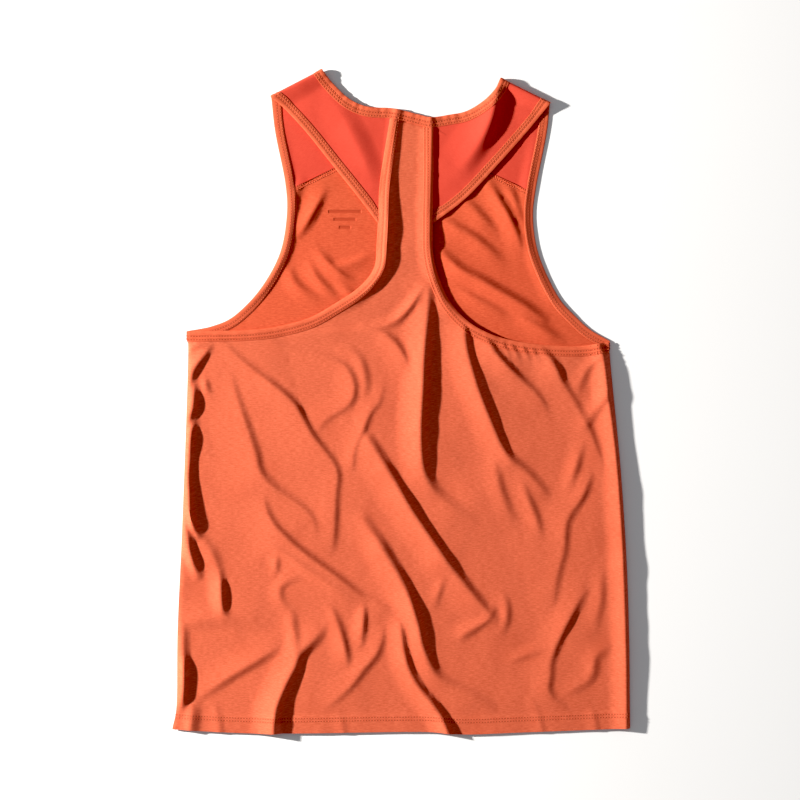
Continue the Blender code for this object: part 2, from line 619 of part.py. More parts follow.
def yoke_edges(side, plan, back_neck, front_neck):
    """The yoke's two edges on the front layer and on the back layer, each from its far end to the crease
    or from the crease to its tip; the first of each pair is the armhole edge."""
    hand = SIDES[side]["hand"]
    seam_start, seam_end = SIDES[side]["front_seam"]
    armhole = shifted(plan["below"][1], -hand * SEAM_GAP)
    neck = shifted(front_neck[1], SEAM_GAP)
    if side == "right":
        neck = neck[::-1]
    neck = stretch(neck, place_on(neck, seam_end), arc_lengths(neck)[-1])
    armhole = stretch(armhole, place_on(armhole, seam_start), arc_lengths(armhole)[-1])
    front = matched(armhole, neck), neck

    neckline = shifted(back_neck[1], -SEAM_GAP)
    strip = shifted(plan["back"][0], -hand * SEAM_GAP)
    if side == "right":
        neckline = neckline[::-1]
    corner_x = strip[0, 0]
    order = np.argsort(neckline[:, 0])
    corner_y = np.interp(corner_x, neckline[order, 0], neckline[order, 1])
    before = neckline[hand * neckline[:, 0] < hand * corner_x - 2 * SHORTEST_EDGE]
    diagonal = shifted(plan["above"][1], hand * SEAM_GAP)
    tip = place_on(strip, diagonal[-1]) - YOKE_TIP
    after = stretch(strip, 0, tip)[1:]
    inner = np.vstack([before, [(corner_x, corner_y)], after])
    outer = stretch(diagonal, 0, arc_lengths(diagonal)[-1] - YOKE_TIP)
    return front, (matched(outer, inner), inner)


def make_yoke(side, edges):
    front_rows = front_mid(across(edges[0], YOKE_COLUMNS), YOKE_WALL)
    back_rows = back_mid(across(edges[1], YOKE_COLUMNS), YOKE_WALL)
    over, turn = bend_rows(front_rows[-1], back_rows[0], crease_frame(side)[3], upwards=True)
    rows = np.concatenate([front_rows, over, back_rows])
    outward = np.concatenate([facing(len(front_rows), -1), turn, facing(len(back_rows), 1)])
    loft(f"yoke_{side}", rows, outward, YOKE_WALL, "woven")


def make_back_panel(plans, back_neck):
    left_seam = shifted(plans["left"]["back"][1], SEAM_GAP)
    right_seam = shifted(plans["right"]["back"][1], -SEAM_GAP)
    neckline = shifted(back_neck[1], -SEAM_GAP)
    for seam in (left_seam, right_seam):
        seam[0, 1] = np.interp(seam[0, 0], neckline[:, 0], neckline[:, 1]) - SEAM_GAP
    low, high = left_seam[0, 0] + SHORTEST_EDGE, right_seam[0, 0] - SHORTEST_EDGE
    between = (neckline[:, 0] > low) & (neckline[:, 0] < high)
    top = neckline[between] - np.array([0, SEAM_GAP])
    left_side = smooth_line(SIDES["left"]["side"], OUTLINE_STEP)
    right_side = smooth_line(SIDES["right"]["side"], OUTLINE_STEP)
    left_side = left_side[left_side[:, 1] < left_seam[-1, 1] - SIDE_CLEARANCE]
    right_side = right_side[right_side[:, 1] < right_seam[-1, 1] - SIDE_CLEARANCE]
    hem = smooth_line(HEM, OUTLINE_STEP)
    outline = np.vstack([
        top, right_seam, right_side[:-1], hem[::-1][:-1], left_side[::-1], left_seam[::-1],
    ])
    rolls = [
        shifted(smooth_line(table["side"], CREST_STEP), table["hand"] * SIDE_ROLL) for table in SIDES.values()
    ]
    candidates = np.vstack([*rolls, fold_points(BACK_FOLDS), grid_points(GRID_STEP)])
    panel("back_panel", outline, spaced(candidates, outline, LEAST_SPACING), back_mid)


def make_front_panel(plans, front_neck, edges):
    sides = {}
    for side in SIDES:
        hand = SIDES[side]["hand"]
        binding = shifted(plans[side]["below"][1], -hand * SEAM_GAP)
        binding = stretch(binding, 0, place_on(binding, edges[side][0][0][0]) - 2 * SEAM_GAP)
        line = shifted(smooth_line(SIDES[side]["side"], OUTLINE_STEP), hand * FRONT_INSET)
        line = line[line[:, 1] < binding[0, 1] - SIDE_CLEARANCE]
        sides[side] = line[::-1], binding
    neck = shifted(front_neck[1], SEAM_GAP)
    start = place_on(neck, edges["right"][0][1][0]) + 2 * SEAM_GAP
    end = place_on(neck, edges["left"][0][1][0]) - 2 * SEAM_GAP
    neck = stretch(neck, start, end)
    hem = shifted(smooth_line(HEM, OUTLINE_STEP), FRONT_INSET)[1:-1]
    outline = np.vstack([
        hem, *sides["right"], neck, sides["left"][1][::-1], sides["left"][0][::-1],
    ])
    candidates = np.vstack([fold_points(FRONT_FOLDS), grid_points(FRONT_GRID_STEP)])
    panel("front_panel", outline, spaced(candidates, outline, LEAST_SPACING), front_mid)


def main():
    for thing in list(bpy.data.objects):
        bpy.data.objects.remove(thing)
    back_neck, front_neck = neck_plan()
    plans = {side: side_plan(side, back_neck[1]) for side in SIDES}
    edges = {side: yoke_edges(side, plans[side], back_neck, front_neck) for side in SIDES}
    make_front_panel(plans, front_neck, edges)
    make_back_panel(plans, back_neck)
    make_neck_binding(back_neck, front_neck)
    for side in SIDES:
        make_yoke(side, edges[side])
        make_front_binding(side, plans[side])
        make_back_binding(side, plans[side])


main()
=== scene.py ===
"""Looks of a running singlet that lies flat with its back uppermost.

Sizes and places are in millimetres, in the frame's axes, until a mesh is made in metres. The cloth follows
the same outline and fold tables as its solids, on a finer mesh and with smaller creases added.
"""

import functools
import math

import bpy
import numpy as np
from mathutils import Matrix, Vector, noise
from mathutils.geometry import delaunay_2d_cdt


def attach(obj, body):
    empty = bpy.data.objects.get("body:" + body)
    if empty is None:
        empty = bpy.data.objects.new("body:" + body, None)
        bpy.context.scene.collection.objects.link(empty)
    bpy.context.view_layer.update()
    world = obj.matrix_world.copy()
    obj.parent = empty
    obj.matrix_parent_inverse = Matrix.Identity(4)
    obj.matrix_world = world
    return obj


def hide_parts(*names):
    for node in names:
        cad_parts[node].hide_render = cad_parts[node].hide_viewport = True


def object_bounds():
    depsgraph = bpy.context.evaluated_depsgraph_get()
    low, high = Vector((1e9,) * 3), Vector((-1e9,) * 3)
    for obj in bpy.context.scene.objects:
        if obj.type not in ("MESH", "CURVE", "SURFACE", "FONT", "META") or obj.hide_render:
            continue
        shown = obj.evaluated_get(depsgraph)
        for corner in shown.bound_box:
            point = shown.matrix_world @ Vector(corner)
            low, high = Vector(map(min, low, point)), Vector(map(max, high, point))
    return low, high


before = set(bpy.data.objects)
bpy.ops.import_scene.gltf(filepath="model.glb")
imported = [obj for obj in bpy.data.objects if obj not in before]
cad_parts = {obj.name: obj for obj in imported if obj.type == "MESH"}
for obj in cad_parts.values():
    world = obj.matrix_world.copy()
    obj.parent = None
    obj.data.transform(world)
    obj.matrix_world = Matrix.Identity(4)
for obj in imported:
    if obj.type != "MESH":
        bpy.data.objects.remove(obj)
cad_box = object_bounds()

# ------------------------------------------------------------------ sizes, in millimetres
METRE = 1000.0
SEAM_GAP = 0.12
KNIT_WALL = 0.9
WOVEN_WALL = 0.8
BINDING_WALL = 1.7
PANEL_SOLID = 1.4  # the walls of the solids that the cloth stands for
BINDING_SOLID = 1.8
BACK_LEVEL = 2.2  # underside of the back layer's solids
BACK_BINDING = 12.0
FRONT_BINDING = 10.5
NECK_BINDING = 11.5
CREASE_BINDING = 12.5
BEND_REACH = 2.0
CREASE_INSET = BEND_REACH + BINDING_SOLID / 2
FRONT_INSET = 0.4
BINDING_LIFT = (BINDING_SOLID - PANEL_SOLID) / 2
NECK_RAISED = 0.2  # how far each binding stands above the layer that it lies on
FRONT_RAISED = 0.1
BACK_RAISED = 0.3
TURN_LENGTH = 26.0
TUCK_LENGTH = 15.0
YOKE_TIP = 1.2
NECK_TUCK = 2.0  # how far the strips' tops go under the neck band
NECK_DROP = 1.5
NECK_EASE = 0.7  # share of the dip under the neck band that is reached at its seam
SIDE_ROLL = 4.0
ROLL_TOP = 82.0
ROLL_DROP = 0.9
HEM_DEPTH = 18.0
HEM_RISE = 0.6
HEM_EASE = 3.0

OUTLINE_STEP = 2.0
FOLD_STEP = 3.0
GUIDE_STEP = 8.0
CURVE_STEPS = 12
END_GAP = 0.5  # vertices of a line that are nearer than this to a cut are left out
PANEL_STEP = 2.9
FRONT_STEP = 3.4
CREST_ROUND = 2.2
CREST_STEP = 2.4
CREST_ROWS = (0.0, 2.0, -2.0, 4.0, -4.0)
CREST_SPACING = 0.7  # least spacing of vertices, as a share of their step
GRID_SPACING = 0.65
MERGE_GAP = 0.001
TEST_BATCH = 4000
SHARP_ANGLE = math.radians(60)
GENTLE_POWER = 1.7
UNEVEN_CREST = 0.12
CREST_WAVE = 26.0
FRONT_RIPPLE = (((60, 0.35, 4.1), (22, 0.15, 5.3)), -0.15)  # size, height and layer of each wave; the least
BACK_RIPPLE = (((95, 1.5, 1.7), (42, 0.7, 2.9), (17, 0.22, 3.3)), -0.45)
CUT_SLANT = (0.25, 0.45)  # how far raised cloth moves along its pattern
GROOVE_DEPTH = 0.5
GROOVE_WIDTH = 0.95
EDGE_SHARE = 0.25  # thickness of a binding at its very edge, as a share
EDGE_POWER = 5
PUCKER = 0.25
NECK_PUCKER = 0.9
PUCKER_SIZE = 4.5
PUCKER_LAYER = 7.7
CORNER_GAP = 1.0
BEND_STEPS = 9
YOKE_COLUMNS = 34
BINDING_COLUMNS = 17

BAR_PLACE = (-64, 216)  # the middle of the longest bar
BAR_COUNT = 3
BAR_PITCH = 9.0
BAR_WIDTH = 4.2
BAR_LENGTH = 38.0
BAR_SHRINK = 6.0  # how much shorter each bar is at either end than the one above it
BAR_EDGE = 1.0
BAR_DEPTH = 0.5
BAR_SHADE = 0.85

STITCH_PITCH = 3.2
STITCH_LENGTH = 1.8
STITCH_WIDTH = 0.9
STITCH_HEIGHT = 0.6
THREAD_SEGMENTS = 6
THREAD_RINGS = 4
LEAST_THREAD = (0.86, 0.85, 0.85)  # length, width and height against the usual
MOST_THREAD = (1.06, 1.1, 1.1)
TACK_STEP = 1.0
BINDING_ROWS = (0.50, 0.83)  # twin stitching, as shares of a binding's width from its free edge
SIDE_TACKS = (  # x, y
    ((214, 53.5), (214, 63)), ((222, 54), (222, 64)), ((235, 56), (235, 66)), ((222, 55), (235, 57)),
    ((222, 63.5), (235, 65.5)),
)
YOKE_ROWS = (1.0, 4.4)  # twin stitching, below the yoke's seam
YOKE_ROW_LIFT = 0.2
YOKE_LOOPS = 48
YOKE_PITCH = 2.6
HEM_ROWS = (13.4, 16.8)  # twin stitching, above the hem's edge
HEM_ROW_STEP = 3.0
HEM_ROW_LIFT = 0.05

# ------------------------------------------------------------------ looks, light and view, in metres
FINE_SHARE = 0.6  # height of the finer streaks against the others
YARN_BLEND = (0.32, 0.62)  # the noise at which each blend starts and ends
FINE_BLEND = (0.30, 0.52)
MOTTLE_BLEND = (0.0, 0.45)
MOTTLE_SIZE = 0.06
THREAD_RELIEF = 0.6
YARN_RELIEF = 0.5
UNEVEN_GLOSS = 0.06
SPECULAR = 0.10
STITCH_PAINTED_SHADE = 0.6  # painted shade: how dark the colour is made along stitch rows, where stitches pull the cloth down and shade falls in the dip
ROW_WIDTH = 0.9  # in millimetres
FLOOR_DARK = (0.90, 0.89, 0.88)
FLOOR_LIGHT = (0.92, 0.91, 0.90)
FLOOR_REACH = 3.0
FLOOR_LEVEL = -0.0003
LIGHT_HEIGHT = math.radians(21)
LIGHT_TURN = math.radians(-10)
LIGHT_DISTANCE = 3.3
LIGHT_RADIUS = 0.085
LIGHT_STRENGTH = 9.3  # on a surface that faces the light, in the middle of the garment
LIGHT_COLOUR = (1.0, 0.985, 0.96)
SURROUND_COLOUR = (0.97, 0.98, 1.0)
SURROUND_STRENGTH = 0.30
BLACK_LEVEL = (0.030, 0.028, 0.0185)  # red, green, blue
CAMERA_HEIGHT = 3.0
CAMERA_PLACE = (-0.0014, 0.0019)  # from the middle of the garment
VIEW_MARGIN = 1.2032  # width of the view against the garment's length

# ------------------------------------------------------------------ outline tables: x, y
HEM = ((-260, -372), (-212, -375), (-142, -377), (20, -375), (70, -378), (130, -376), (260, -371))
BACK_NECK = (
    (-78, 362), (-59, 344), (-38, 335), (-9, 333), (20, 326), (34, 323),
    (55, 326), (74, 330), (93, 341), (106, 354),
)
FRONT_NECK = ((99, 331), (78, 292), (46, 265), (11, 255), (-24, 265), (-56, 292), (-76, 331))

# hand: +1 where the armhole lies towards -X. crease: the shoulder fold, from the armhole to the neck.
# front_armhole: free edge, from the side seam up to the crease. back_armhole: free edge, from the neck
# down the racer strip and out to the side seam. yoke_edge: free edge of the front binding after it has
# folded over the shoulder, down to the racer strip. front_seam: yoke to front panel, armhole end first.
SIDES = {
    "left": {
        "hand": 1,
        "crease": ((-149, 347.5), (-90, 378)),
        "side": ((-244, 80), (-242, 60), (-244, -16), (-249, -148), (-254, -260), (-255, -342), (-260, -372)),
        "front_armhole": (
            (-244, 80), (-214, 86), (-189, 98), (-160, 128),
            (-138, 168), (-130, 212), (-132, 250), (-143, 305),
        ),
        "back_armhole": (
            (-13, 321), (-24, 252), (-26, 215), (-28, 180), (-31, 152), (-48, 130),
            (-76, 111), (-105, 95), (-142, 85), (-180, 81), (-243, 80),
        ),
        "yoke_edge": ((-134, 334), (-108, 306), (-80, 271), (-48, 231), (-26, 203)),
        "front_seam": ((-121, 244), (-60, 272)),
    },
    "right": {
        "hand": -1,
        "crease": ((170, 340), (113, 368)),
        "side": ((237, 68), (238, 40), (249, -73), (256, -179), (259, -271), (260, -371)),
        "front_armhole": (
            (237, 69), (216, 81), (199, 96), (178, 120), (157, 165), (150, 205), (153, 242), (165, 303),
        ),
        "back_armhole": (
            (37, 314), (37, 256), (36, 200), (37, 165), (45, 136), (57, 112),
            (78, 90), (104, 76), (130, 69), (159, 65), (200, 63), (236, 68),
        ),
        "yoke_edge": ((142, 305), (112, 271), (74, 231), (37, 202)),
        "front_seam": ((148, 240), (76, 272)),
    },
}

# ------------------------------------------------------------------ fold tables
# name; width of the steep side, on the left hand of someone who walks along the crest; width of the gentle
# side; the crest as x, y and height
BACK_FOLDS = (
    ("centre", 12, 27, (
        (31, 128, 3.1), (29, 100, 4.8), (27, 75, 6.4), (25, 45, 8.0), (24, 15, 8.4), (22, -20, 8.0),
        (22, -52, 6.8), (25, -78, 5.0), (31, -93, 4.0), (41, -106, 2.2), (58, -121, 1.4), (78, -133, 0.6),
    )),
    ("right_slope", 9, 25, (
        (71, 80, 4.0), (74, 58, 4.2), (81, 32, 5.0), (90, 5, 5.2), (101, -22, 5.0), (112, -48, 4.2),
        (122, -64, 3.8), (134, -74, 2.5), (148, -87, 2.2), (158, -98, 1.8), (165, -108, 0.5),
    )),
    ("long_diagonal", 10, 30, (
        (-46, -36, 1.0), (-36, -46, 2.8), (-22, -68, 4.0), (-5, -96, 5.4), (15, -129, 6.0),
        (32, -154, 5.8), (50, -180, 5.2), (68, -204, 4.2), (84, -224, 3.8), (97, -238, 3.0),
        (104, -246, 2.0),
    )),
    ("diagonal_hook", 9, 16, (
        (103, -238, 2.0), (98, -247, 3.0), (84, -256, 2.5), (72, -263, 1.8), (64, -270, 0.5),
    )),
    ("low_diagonal", 11, 26, (
        (-44, -134, 1.5), (-36, -146, 2.8), (-24, -163, 4.0), (-11, -185, 4.4), (2, -208, 5.6),
        (12, -232, 6.6), (19, -255, 6.8), (24, -278, 5.8), (31, -297, 4.4), (40, -312, 3.2),
        (55, -322, 2.0), (75, -332, 1.5), (100, -345, 0.8),
    )),
    ("low_short", 9, 20, (
        (-2, -250, 1.9), (0, -264, 4.2), (3, -285, 4.4), (10, -308, 4.8), (22, -328, 4.8),
        (36, -345, 5.4), (46, -360, 6.4), (54, -378, 6.6),
    )),
    ("hem_slit", 11, 26, (
        (-88, -256, 1.0), (-100, -270, 3.0), (-116, -286, 4.2), (-122, -302, 5.4), (-132, -322, 6.8),
        (-141, -345, 8.0), (-144, -362, 8.4), (-145, -378, 8.2),
    )),
    ("left_upper", 7, 50, (
        (-198, 62, 0.8), (-183, 47, 1.5), (-163, 31, 2.2), (-143, 16, 2.8), (-123, -2, 3.3),
        (-112, -20, 3.0), (-102, -38, 3.0), (-88, -56, 2.5), (-77, -71, 2.1), (-73, -84, 1.9),
        (-75, -105, 1.8), (-76, -130, 2.0), (-77, -150, 1.6), (-79, -164, 0.6),
    )),
    ("left_lower", 9, 44, (
        (-196, 40, 0.6), (-189, 12, 1.6), (-182, -12, 1.9), (-174, -36, 2.2), (-166, -60, 2.6),
        (-162, -78, 2.9), (-150, -94, 2.4), (-134, -107, 2.2), (-116, -119, 2.1), (-103, -131, 2.0),
        (-98, -144, 1.2), (-97, -156, 0.4),
    )),
    ("left_third", 8, 40, (
        (-157, -104, 1.0), (-153, -124, 2.2), (-144, -141, 2.9), (-130, -156, 3.4), (-112, -172, 3.8),
        (-90, -188, 3.8), (-70, -203, 3.4), (-52, -217, 2.4), (-38, -225, 1.5), (-18, -234, 1.1),
        (-4, -243, 0.5),
    )),
    ("curl", 7, 28, (
        (-148, 66, 0.5), (-120, 58, 0.9), (-90, 50, 1.1), (-68, 42, 1.6), (-58, 31, 2.0), (-54, 17, 2.2),
        (-56, 4, 2.0), (-64, -6, 1.6), (-76, -13, 1.3), (-88, -22, 1.0), (-95, -32, 0.4),
    )),
    ("nick", 6, 16, (
        (-22, 14, 0.5), (-26, 0, 1.0), (-34, -10, 1.3), (-40, -22, 1.8), (-44, -34, 1.9), (-50, -46, 1.5),
        (-54, -60, 1.2), (-56, -76, 0.5),
    )),
    ("neck_root", 8, 24, (
        (-46, 84, 0.8), (-26, 80, 1.6), (-13, 71, 2.8), (-3, 61, 3.2), (4, 49, 2.8), (8, 37, 1.8),
        (9, 26, 0.5),
    )),
    ("strip_root", 8, 10, (
        (25, 130, 2.0), (14, 113, 3.4), (4, 101, 3.4), (-7, 92, 2.4), (-22, 86, 1.4), (-38, 83, 0.4),
    )),
    ("right_upper", 7, 22, (
        (98, 68, 2.0), (106, 56, 3.8), (118, 42, 4.0), (129, 31, 3.5), (141, 20, 2.2), (152, 9, 1.6),
        (160, -2, 1.2), (165, -12, 0.4),
    )),
    ("right_branch", 8, 28, (
        (158, 58, 1.2), (168, 48, 3.2), (176, 36, 4.0), (181, 24, 2.8), (189, 11, 2.2), (197, -2, 1.7),
        (206, -20, 1.6), (214, -36, 1.8), (221, -52, 1.7), (227, -68, 1.2), (230, -82, 0.5),
    )),
    ("right_corner", 9, 12, (
        (232, 54, 2.0), (224, 48, 2.5), (212, 38, 2.0), (205, 26, 1.5), (199, 12, 0.5),
    )),
    ("right_lower", 8, 32, (
        (214, -84, 1.0), (209, -98, 2.1), (203, -110, 2.4), (194, -123, 2.1), (187, -136, 2.0),
        (185, -152, 2.1), (184, -168, 1.8), (179, -186, 1.5), (175, -204, 1.3), (173, -222, 0.9),
        (171, -236, 0.4),
    )),
    ("right_foot", 8, 28, (
        (207, -216, 0.8), (199, -230, 2.2), (190, -247, 3.2), (181, -264, 2.9), (174, -280, 2.5),
        (169, -296, 2.0), (168, -312, 1.8), (166, -325, 1.9), (171, -337, 1.6), (181, -345, 1.0),
        (188, -352, 0.4),
    )),
    ("foot_curl", 10, 16, (
        (240, -276, 0.4), (228, -282, 1.1), (219, -292, 1.9), (217, -306, 2.0), (210, -317, 1.5),
        (198, -324, 1.0), (186, -330, 0.4),
    )),
    ("low_left", 8, 18, (
        (-82, -230, 0.5), (-75, -246, 1.9), (-70, -260, 2.6), (-66, -274, 2.8), (-63, -288, 2.2),
        (-61, -302, 0.6),
    )),
    ("low_dash", 7, 14, (
        (-43, -230, 1.0), (-43, -242, 2.8), (-44, -256, 2.6), (-45, -268, 1.6), (-46, -280, 0.5),
    )),
    ("low_curve", 8, 22, (
        (-21, -260, 0.8), (-24, -274, 1.8), (-31, -289, 2.1), (-43, -303, 2.1), (-55, -319, 1.9),
        (-68, -332, 1.4), (-82, -343, 0.6),
    )),
    ("low_sweep", 9, 26, (
        (-138, -279, 0.8), (-152, -286, 2.0), (-170, -297, 2.5), (-187, -307, 2.5), (-203, -317, 2.1),
        (-216, -326, 1.5), (-228, -334, 0.5),
    )),
    ("left_shelf", 16, 22, (
        (-160, -250, 0.4), (-182, -247, 1.2), (-206, -246, 1.8), (-230, -247, 1.8), (-246, -250, 1.2),
    )),
    ("left_spot", 8, 16, (
        (-216, -168, 0.3), (-209, -190, 1.0), (-206, -201, 3.0), (-205, -210, 5.0), (-204, -228, 5.0),
        (-202, -238, 3.6), (-196, -247, 1.2), (-186, -258, 0.4),
    )),
    ("roll_first", 8, 14, (
        (-218, 62, 1.5), (-224, 53, 3.4), (-231, 44, 4.2), (-237, 34, 4.0), (-240, 22, 2.0),
    )),
    ("roll_second", 9, 8, (
        (-236, 18, 2.0), (-236, 6, 5.0), (-237, -6, 6.0), (-240, -16, 4.5), (-242, -24, 2.0),
    )),
    ("roll_long", 9, 7, (
        (-237, -24, 2.4), (-239, -36, 5.8), (-240, -48, 6.2), (-241, -66, 5.0), (-242, -84, 5.4),
        (-241, -104, 6.6), (-240, -124, 7.8), (-237, -138, 7.2), (-232, -150, 2.4),
    )),
    ("roll_third", 9, 8, (
        (-244, -136, 1.5), (-243, -152, 3.4), (-241, -168, 5.8), (-237, -181, 6.0), (-231, -196, 2.0),
    )),
    ("roll_low", 9, 7, (
        (-248, -248, 0.6), (-248, -266, 2.0), (-248, -284, 3.0), (-247, -298, 6.2), (-247, -320, 7.0),
        (-248, -336, 5.8), (-249, -347, 1.4),
    )),
    ("roll_corner", 13, 10, ((-238, -342, 0.6), (-238, -354, 2.6), (-239, -366, 3.2), (-240, -376, 2.4))),
    ("right_edge", 7, 19, (
        (224, 64, 3.4), (230, 45, 6.0), (235, 5, 6.2), (240, -30, 5.6), (245, -73, 5.4), (249, -125, 5.4),
        (252, -179, 5.6), (255, -271, 5.6), (256, -330, 5.4), (256, -376, 4.4),
    )),
    ("strip_left", 10, 9, (
        (-5, 332, 2.2), (-10, 290, 2.6), (-13, 250, 3.6), (-15, 222, 5.2), (-15, 200, 6.4),
        (-16, 180, 6.2), (-20, 152, 5.4), (-33, 132, 4.4), (-47, 120, 3.0), (-66, 108, 1.8),
        (-92, 96, 0.8),
    )),
    ("strip_right", 8, 14, (
        (34, 322, 2.4), (33, 285, 2.8), (32, 250, 3.0), (31, 200, 3.6), (32, 168, 3.6), (39, 134, 3.2),
        (52, 108, 2.4), (75, 88, 1.5), (105, 72, 0.7),
    )),
    ("shoulder_left", 22, 22, ((-90, 378, 4.6), (-120, 362, 4.0), (-149, 347.5, 3.4))),
    ("shoulder_right", 20, 20, ((170, 340, 4.0), (140, 355, 4.6), (113, 368, 5.2))),
    ("yoke_left", 20, 26, (
        (-84, 352, 0.3), (-70, 330, 1.4), (-56, 305, 2.6), (-42, 275, 2.2), (-32, 248, 0.8),
    )),
    ("yoke_right", 16, 32, (
        (112, 360, 5.0), (107, 343, 8.4), (101, 320, 8.8), (92, 300, 6.8), (80, 281, 3.4), (66, 264, 0.8),
    )),
)
FRONT_FOLDS = (
    ("binding_left", 9, 9, (
        (-136, 305, 0.2), (-128, 262, 1.0), (-125, 230, 1.9), (-125, 205, 2.4), (-132, 170, 2.4),
        (-150, 136, 2.0), (-170, 114, 1.2), (-184, 103, 0.5),
    )),
    ("binding_right", 9, 9, (
        (153, 300, 0.5), (144, 255, 1.5), (140, 225, 1.7), (141, 190, 1.8), (148, 163, 1.8),
        (167, 122, 1.6), (182, 106, 0.9), (192, 98, 0.4),
    )),
    ("chest_left", 8, 16, ((-88, 240, 0.8), (-97, 222, 3.2), (-107, 204, 3.4), (-117, 190, 1.0))),
    ("chest_low", 8, 18, ((-96, 172, 0.6), (-84, 158, 2.6), (-70, 146, 2.8), (-58, 138, 1.0))),
    ("window_high", 9, 18, (
        (98, 250, 0.8), (110, 230, 3.4), (121, 212, 4.2), (131, 190, 3.2), (137, 172, 1.0),
    )),
    ("window_long", 10, 20, (
        (46, 168, 2.0), (66, 150, 4.6), (90, 137, 5.2), (116, 122, 5.2), (140, 108, 4.4), (160, 93, 2.0),
    )),
)
# Small creases that only the cloth shows, with the same columns.
BACK_CREASES = (
    ("hook_ring", 8, 14, ((116, -222, 0.7), (119, -234, 1.9), (119, -246, 1.9), (115, -260, 0.6))),
    ("curl_second", 8, 14, ((-62, 62, 0.5), (-49, 50, 1.2), (-43, 36, 1.6), (-41, 20, 1.4), (-42, 8, 0.5))),
    ("right_cross", 9, 14, (
        (236, 18, 0.6), (229, 4, 1.8), (221, -8, 2.0), (213, -20, 1.4), (206, -30, 0.5),
    )),
    ("right_twist", 8, 14, (
        (204, -50, 0.6), (201, -62, 1.7), (198, -74, 2.3), (193, -86, 1.4), (190, -96, 0.5),
    )),
    ("right_dash", 9, 16, (
        (105, -72, 0.6), (108, -86, 1.7), (112, -100, 1.8), (118, -116, 1.4), (124, -130, 0.5),
    )),
    ("right_dot", 8, 16, (
        (136, -92, 0.5), (142, -108, 1.7), (149, -123, 2.2), (154, -137, 1.9), (157, -150, 0.5),
    )),
    ("side_soft", 9, 14, (
        (226, -196, 0.5), (226, -212, 1.3), (225, -228, 1.4), (221, -244, 1.1), (219, -258, 0.4),
    )),
    ("foot_line", 7, 12, ((158, -283, 0.4), (146, -286, 1.1), (134, -290, 1.1), (124, -294, 0.4))),
    ("foot_dash", 6, 10, ((47, -202, 0.4), (43, -214, 1.3), (39, -228, 0.5))),
    ("left_fork", 9, 14, ((-126, -238, 0.6), (-124, -252, 1.7), (-122, -266, 1.9), (-121, -280, 1.0))),
    ("left_pip", 6, 10, ((-141, -174, 0.5), (-142, -184, 1.6), (-143, -194, 0.5))),
    ("left_hook", 7, 12, (
        (-118, -200, 0.5), (-130, -204, 1.2), (-138, -212, 1.4), (-137, -224, 1.2), (-128, -236, 0.5),
    )),
    ("third_shadow", 7, 12, (
        (-148, -164, 0.5), (-128, -176, 1.2), (-104, -193, 1.3), (-80, -208, 1.0), (-62, -220, 0.4),
    )),
    ("left_faint", 10, 22, ((-234, -146, 0.4), (-224, -160, 1.2), (-214, -176, 1.3), (-207, -190, 0.6))),
    ("roll_top", 5, 7, ((-224, 65, 0.7), (-232, 63, 2.2), (-240, 60, 0.7))),
    ("roll_drop", 6, 8, ((-223, 26, 0.5), (-222, 18, 2.2), (-217, 8, 0.5))),
    ("upper_line", 6, 14, ((-128, 74, 0.2), (-100, 77, 0.8), (-66, 79, 0.8), (-44, 78, 0.2))),
    ("tuck_first", 4, 6, ((116, 64, 1.0), (121, 56, 1.0), (124, 48, 0.2))),
    ("tuck_second", 4, 6, ((126, 62, 1.1), (131, 54, 1.1), (135, 46, 0.2))),
    ("tuck_third", 4, 6, ((139, 60, 1.1), (143, 53, 1.1), (147, 44, 0.2))),
    ("tuck_fourth", 4, 6, ((149, 59, 0.8), (153, 51, 0.8), (158, 42, 0.2))),
    ("hem_first", 6, 12, ((214, -346, 0.2), (219, -358, 0.7), (221, -374, 0.8))),
    ("hem_second", 6, 12, ((148, -340, 0.2), (156, -358, 0.7), (160, -376, 0.8))),
    ("hem_third", 7, 14, ((-72, -352, 0.2), (-68, -364, 0.7), (-66, -377, 0.9))),
    ("hem_fourth", 7, 14, ((-212, -345, 0.3), (-208, -360, 0.9), (-206, -377, 1.1))),
)
FRONT_CREASES = (
    ("chest_seam", 7, 12, ((-113, 250, 0.6), (-119, 238, 2.0), (-121, 224, 1.8), (-119, 210, 0.6))),
    ("chest_dip", 8, 16, ((-128, 150, 0.6), (-122, 136, 2.2), (-108, 124, 2.2), (-92, 118, 0.6))),
    ("chest_line", 8, 16, ((-104, 160, 0.6), (-98, 144, 2.2), (-86, 130, 2.4), (-74, 119, 0.8))),
    ("chest_cross", 8, 14, ((-102, 156, 0.6), (-79, 152, 1.8), (-54, 158, 1.9), (-37, 166, 0.6))),
    ("chest_foot", 8, 14, ((-75, 140, 0.6), (-61, 126, 2.0), (-50, 115, 0.6))),
    ("window_mid", 9, 18, (
        (46, 206, 0.8), (62, 197, 2.9), (82, 186, 3.4), (100, 172, 2.6), (112, 160, 0.6),
    )),
    ("window_soft", 9, 18, ((64, 232, 0.5), (78, 222, 2.0), (92, 208, 2.4), (104, 196, 0.8))),
    ("window_under", 9, 16, ((58, 134, 0.6), (78, 120, 2.4), (100, 108, 2.8), (122, 98, 1.0))),
    ("window_low", 9, 16, ((122, 106, 0.8), (144, 92, 2.9), (164, 80, 3.0), (180, 70, 0.8))),
    ("window_edge", 7, 12, ((118, 246, 0.6), (127, 234, 2.3), (134, 214, 2.3), (141, 190, 0.8))),
)


# ------------------------------------------------------------------ lines in plan
def arc_lengths(line):
    return np.concatenate([[0.0], np.cumsum(np.linalg.norm(np.diff(line, axis=0), axis=1))])


def along_line(line, places):
    """The points at these arc lengths."""
    lengths = arc_lengths(line)
    return np.column_stack([np.interp(places, lengths, values) for values in line.T])


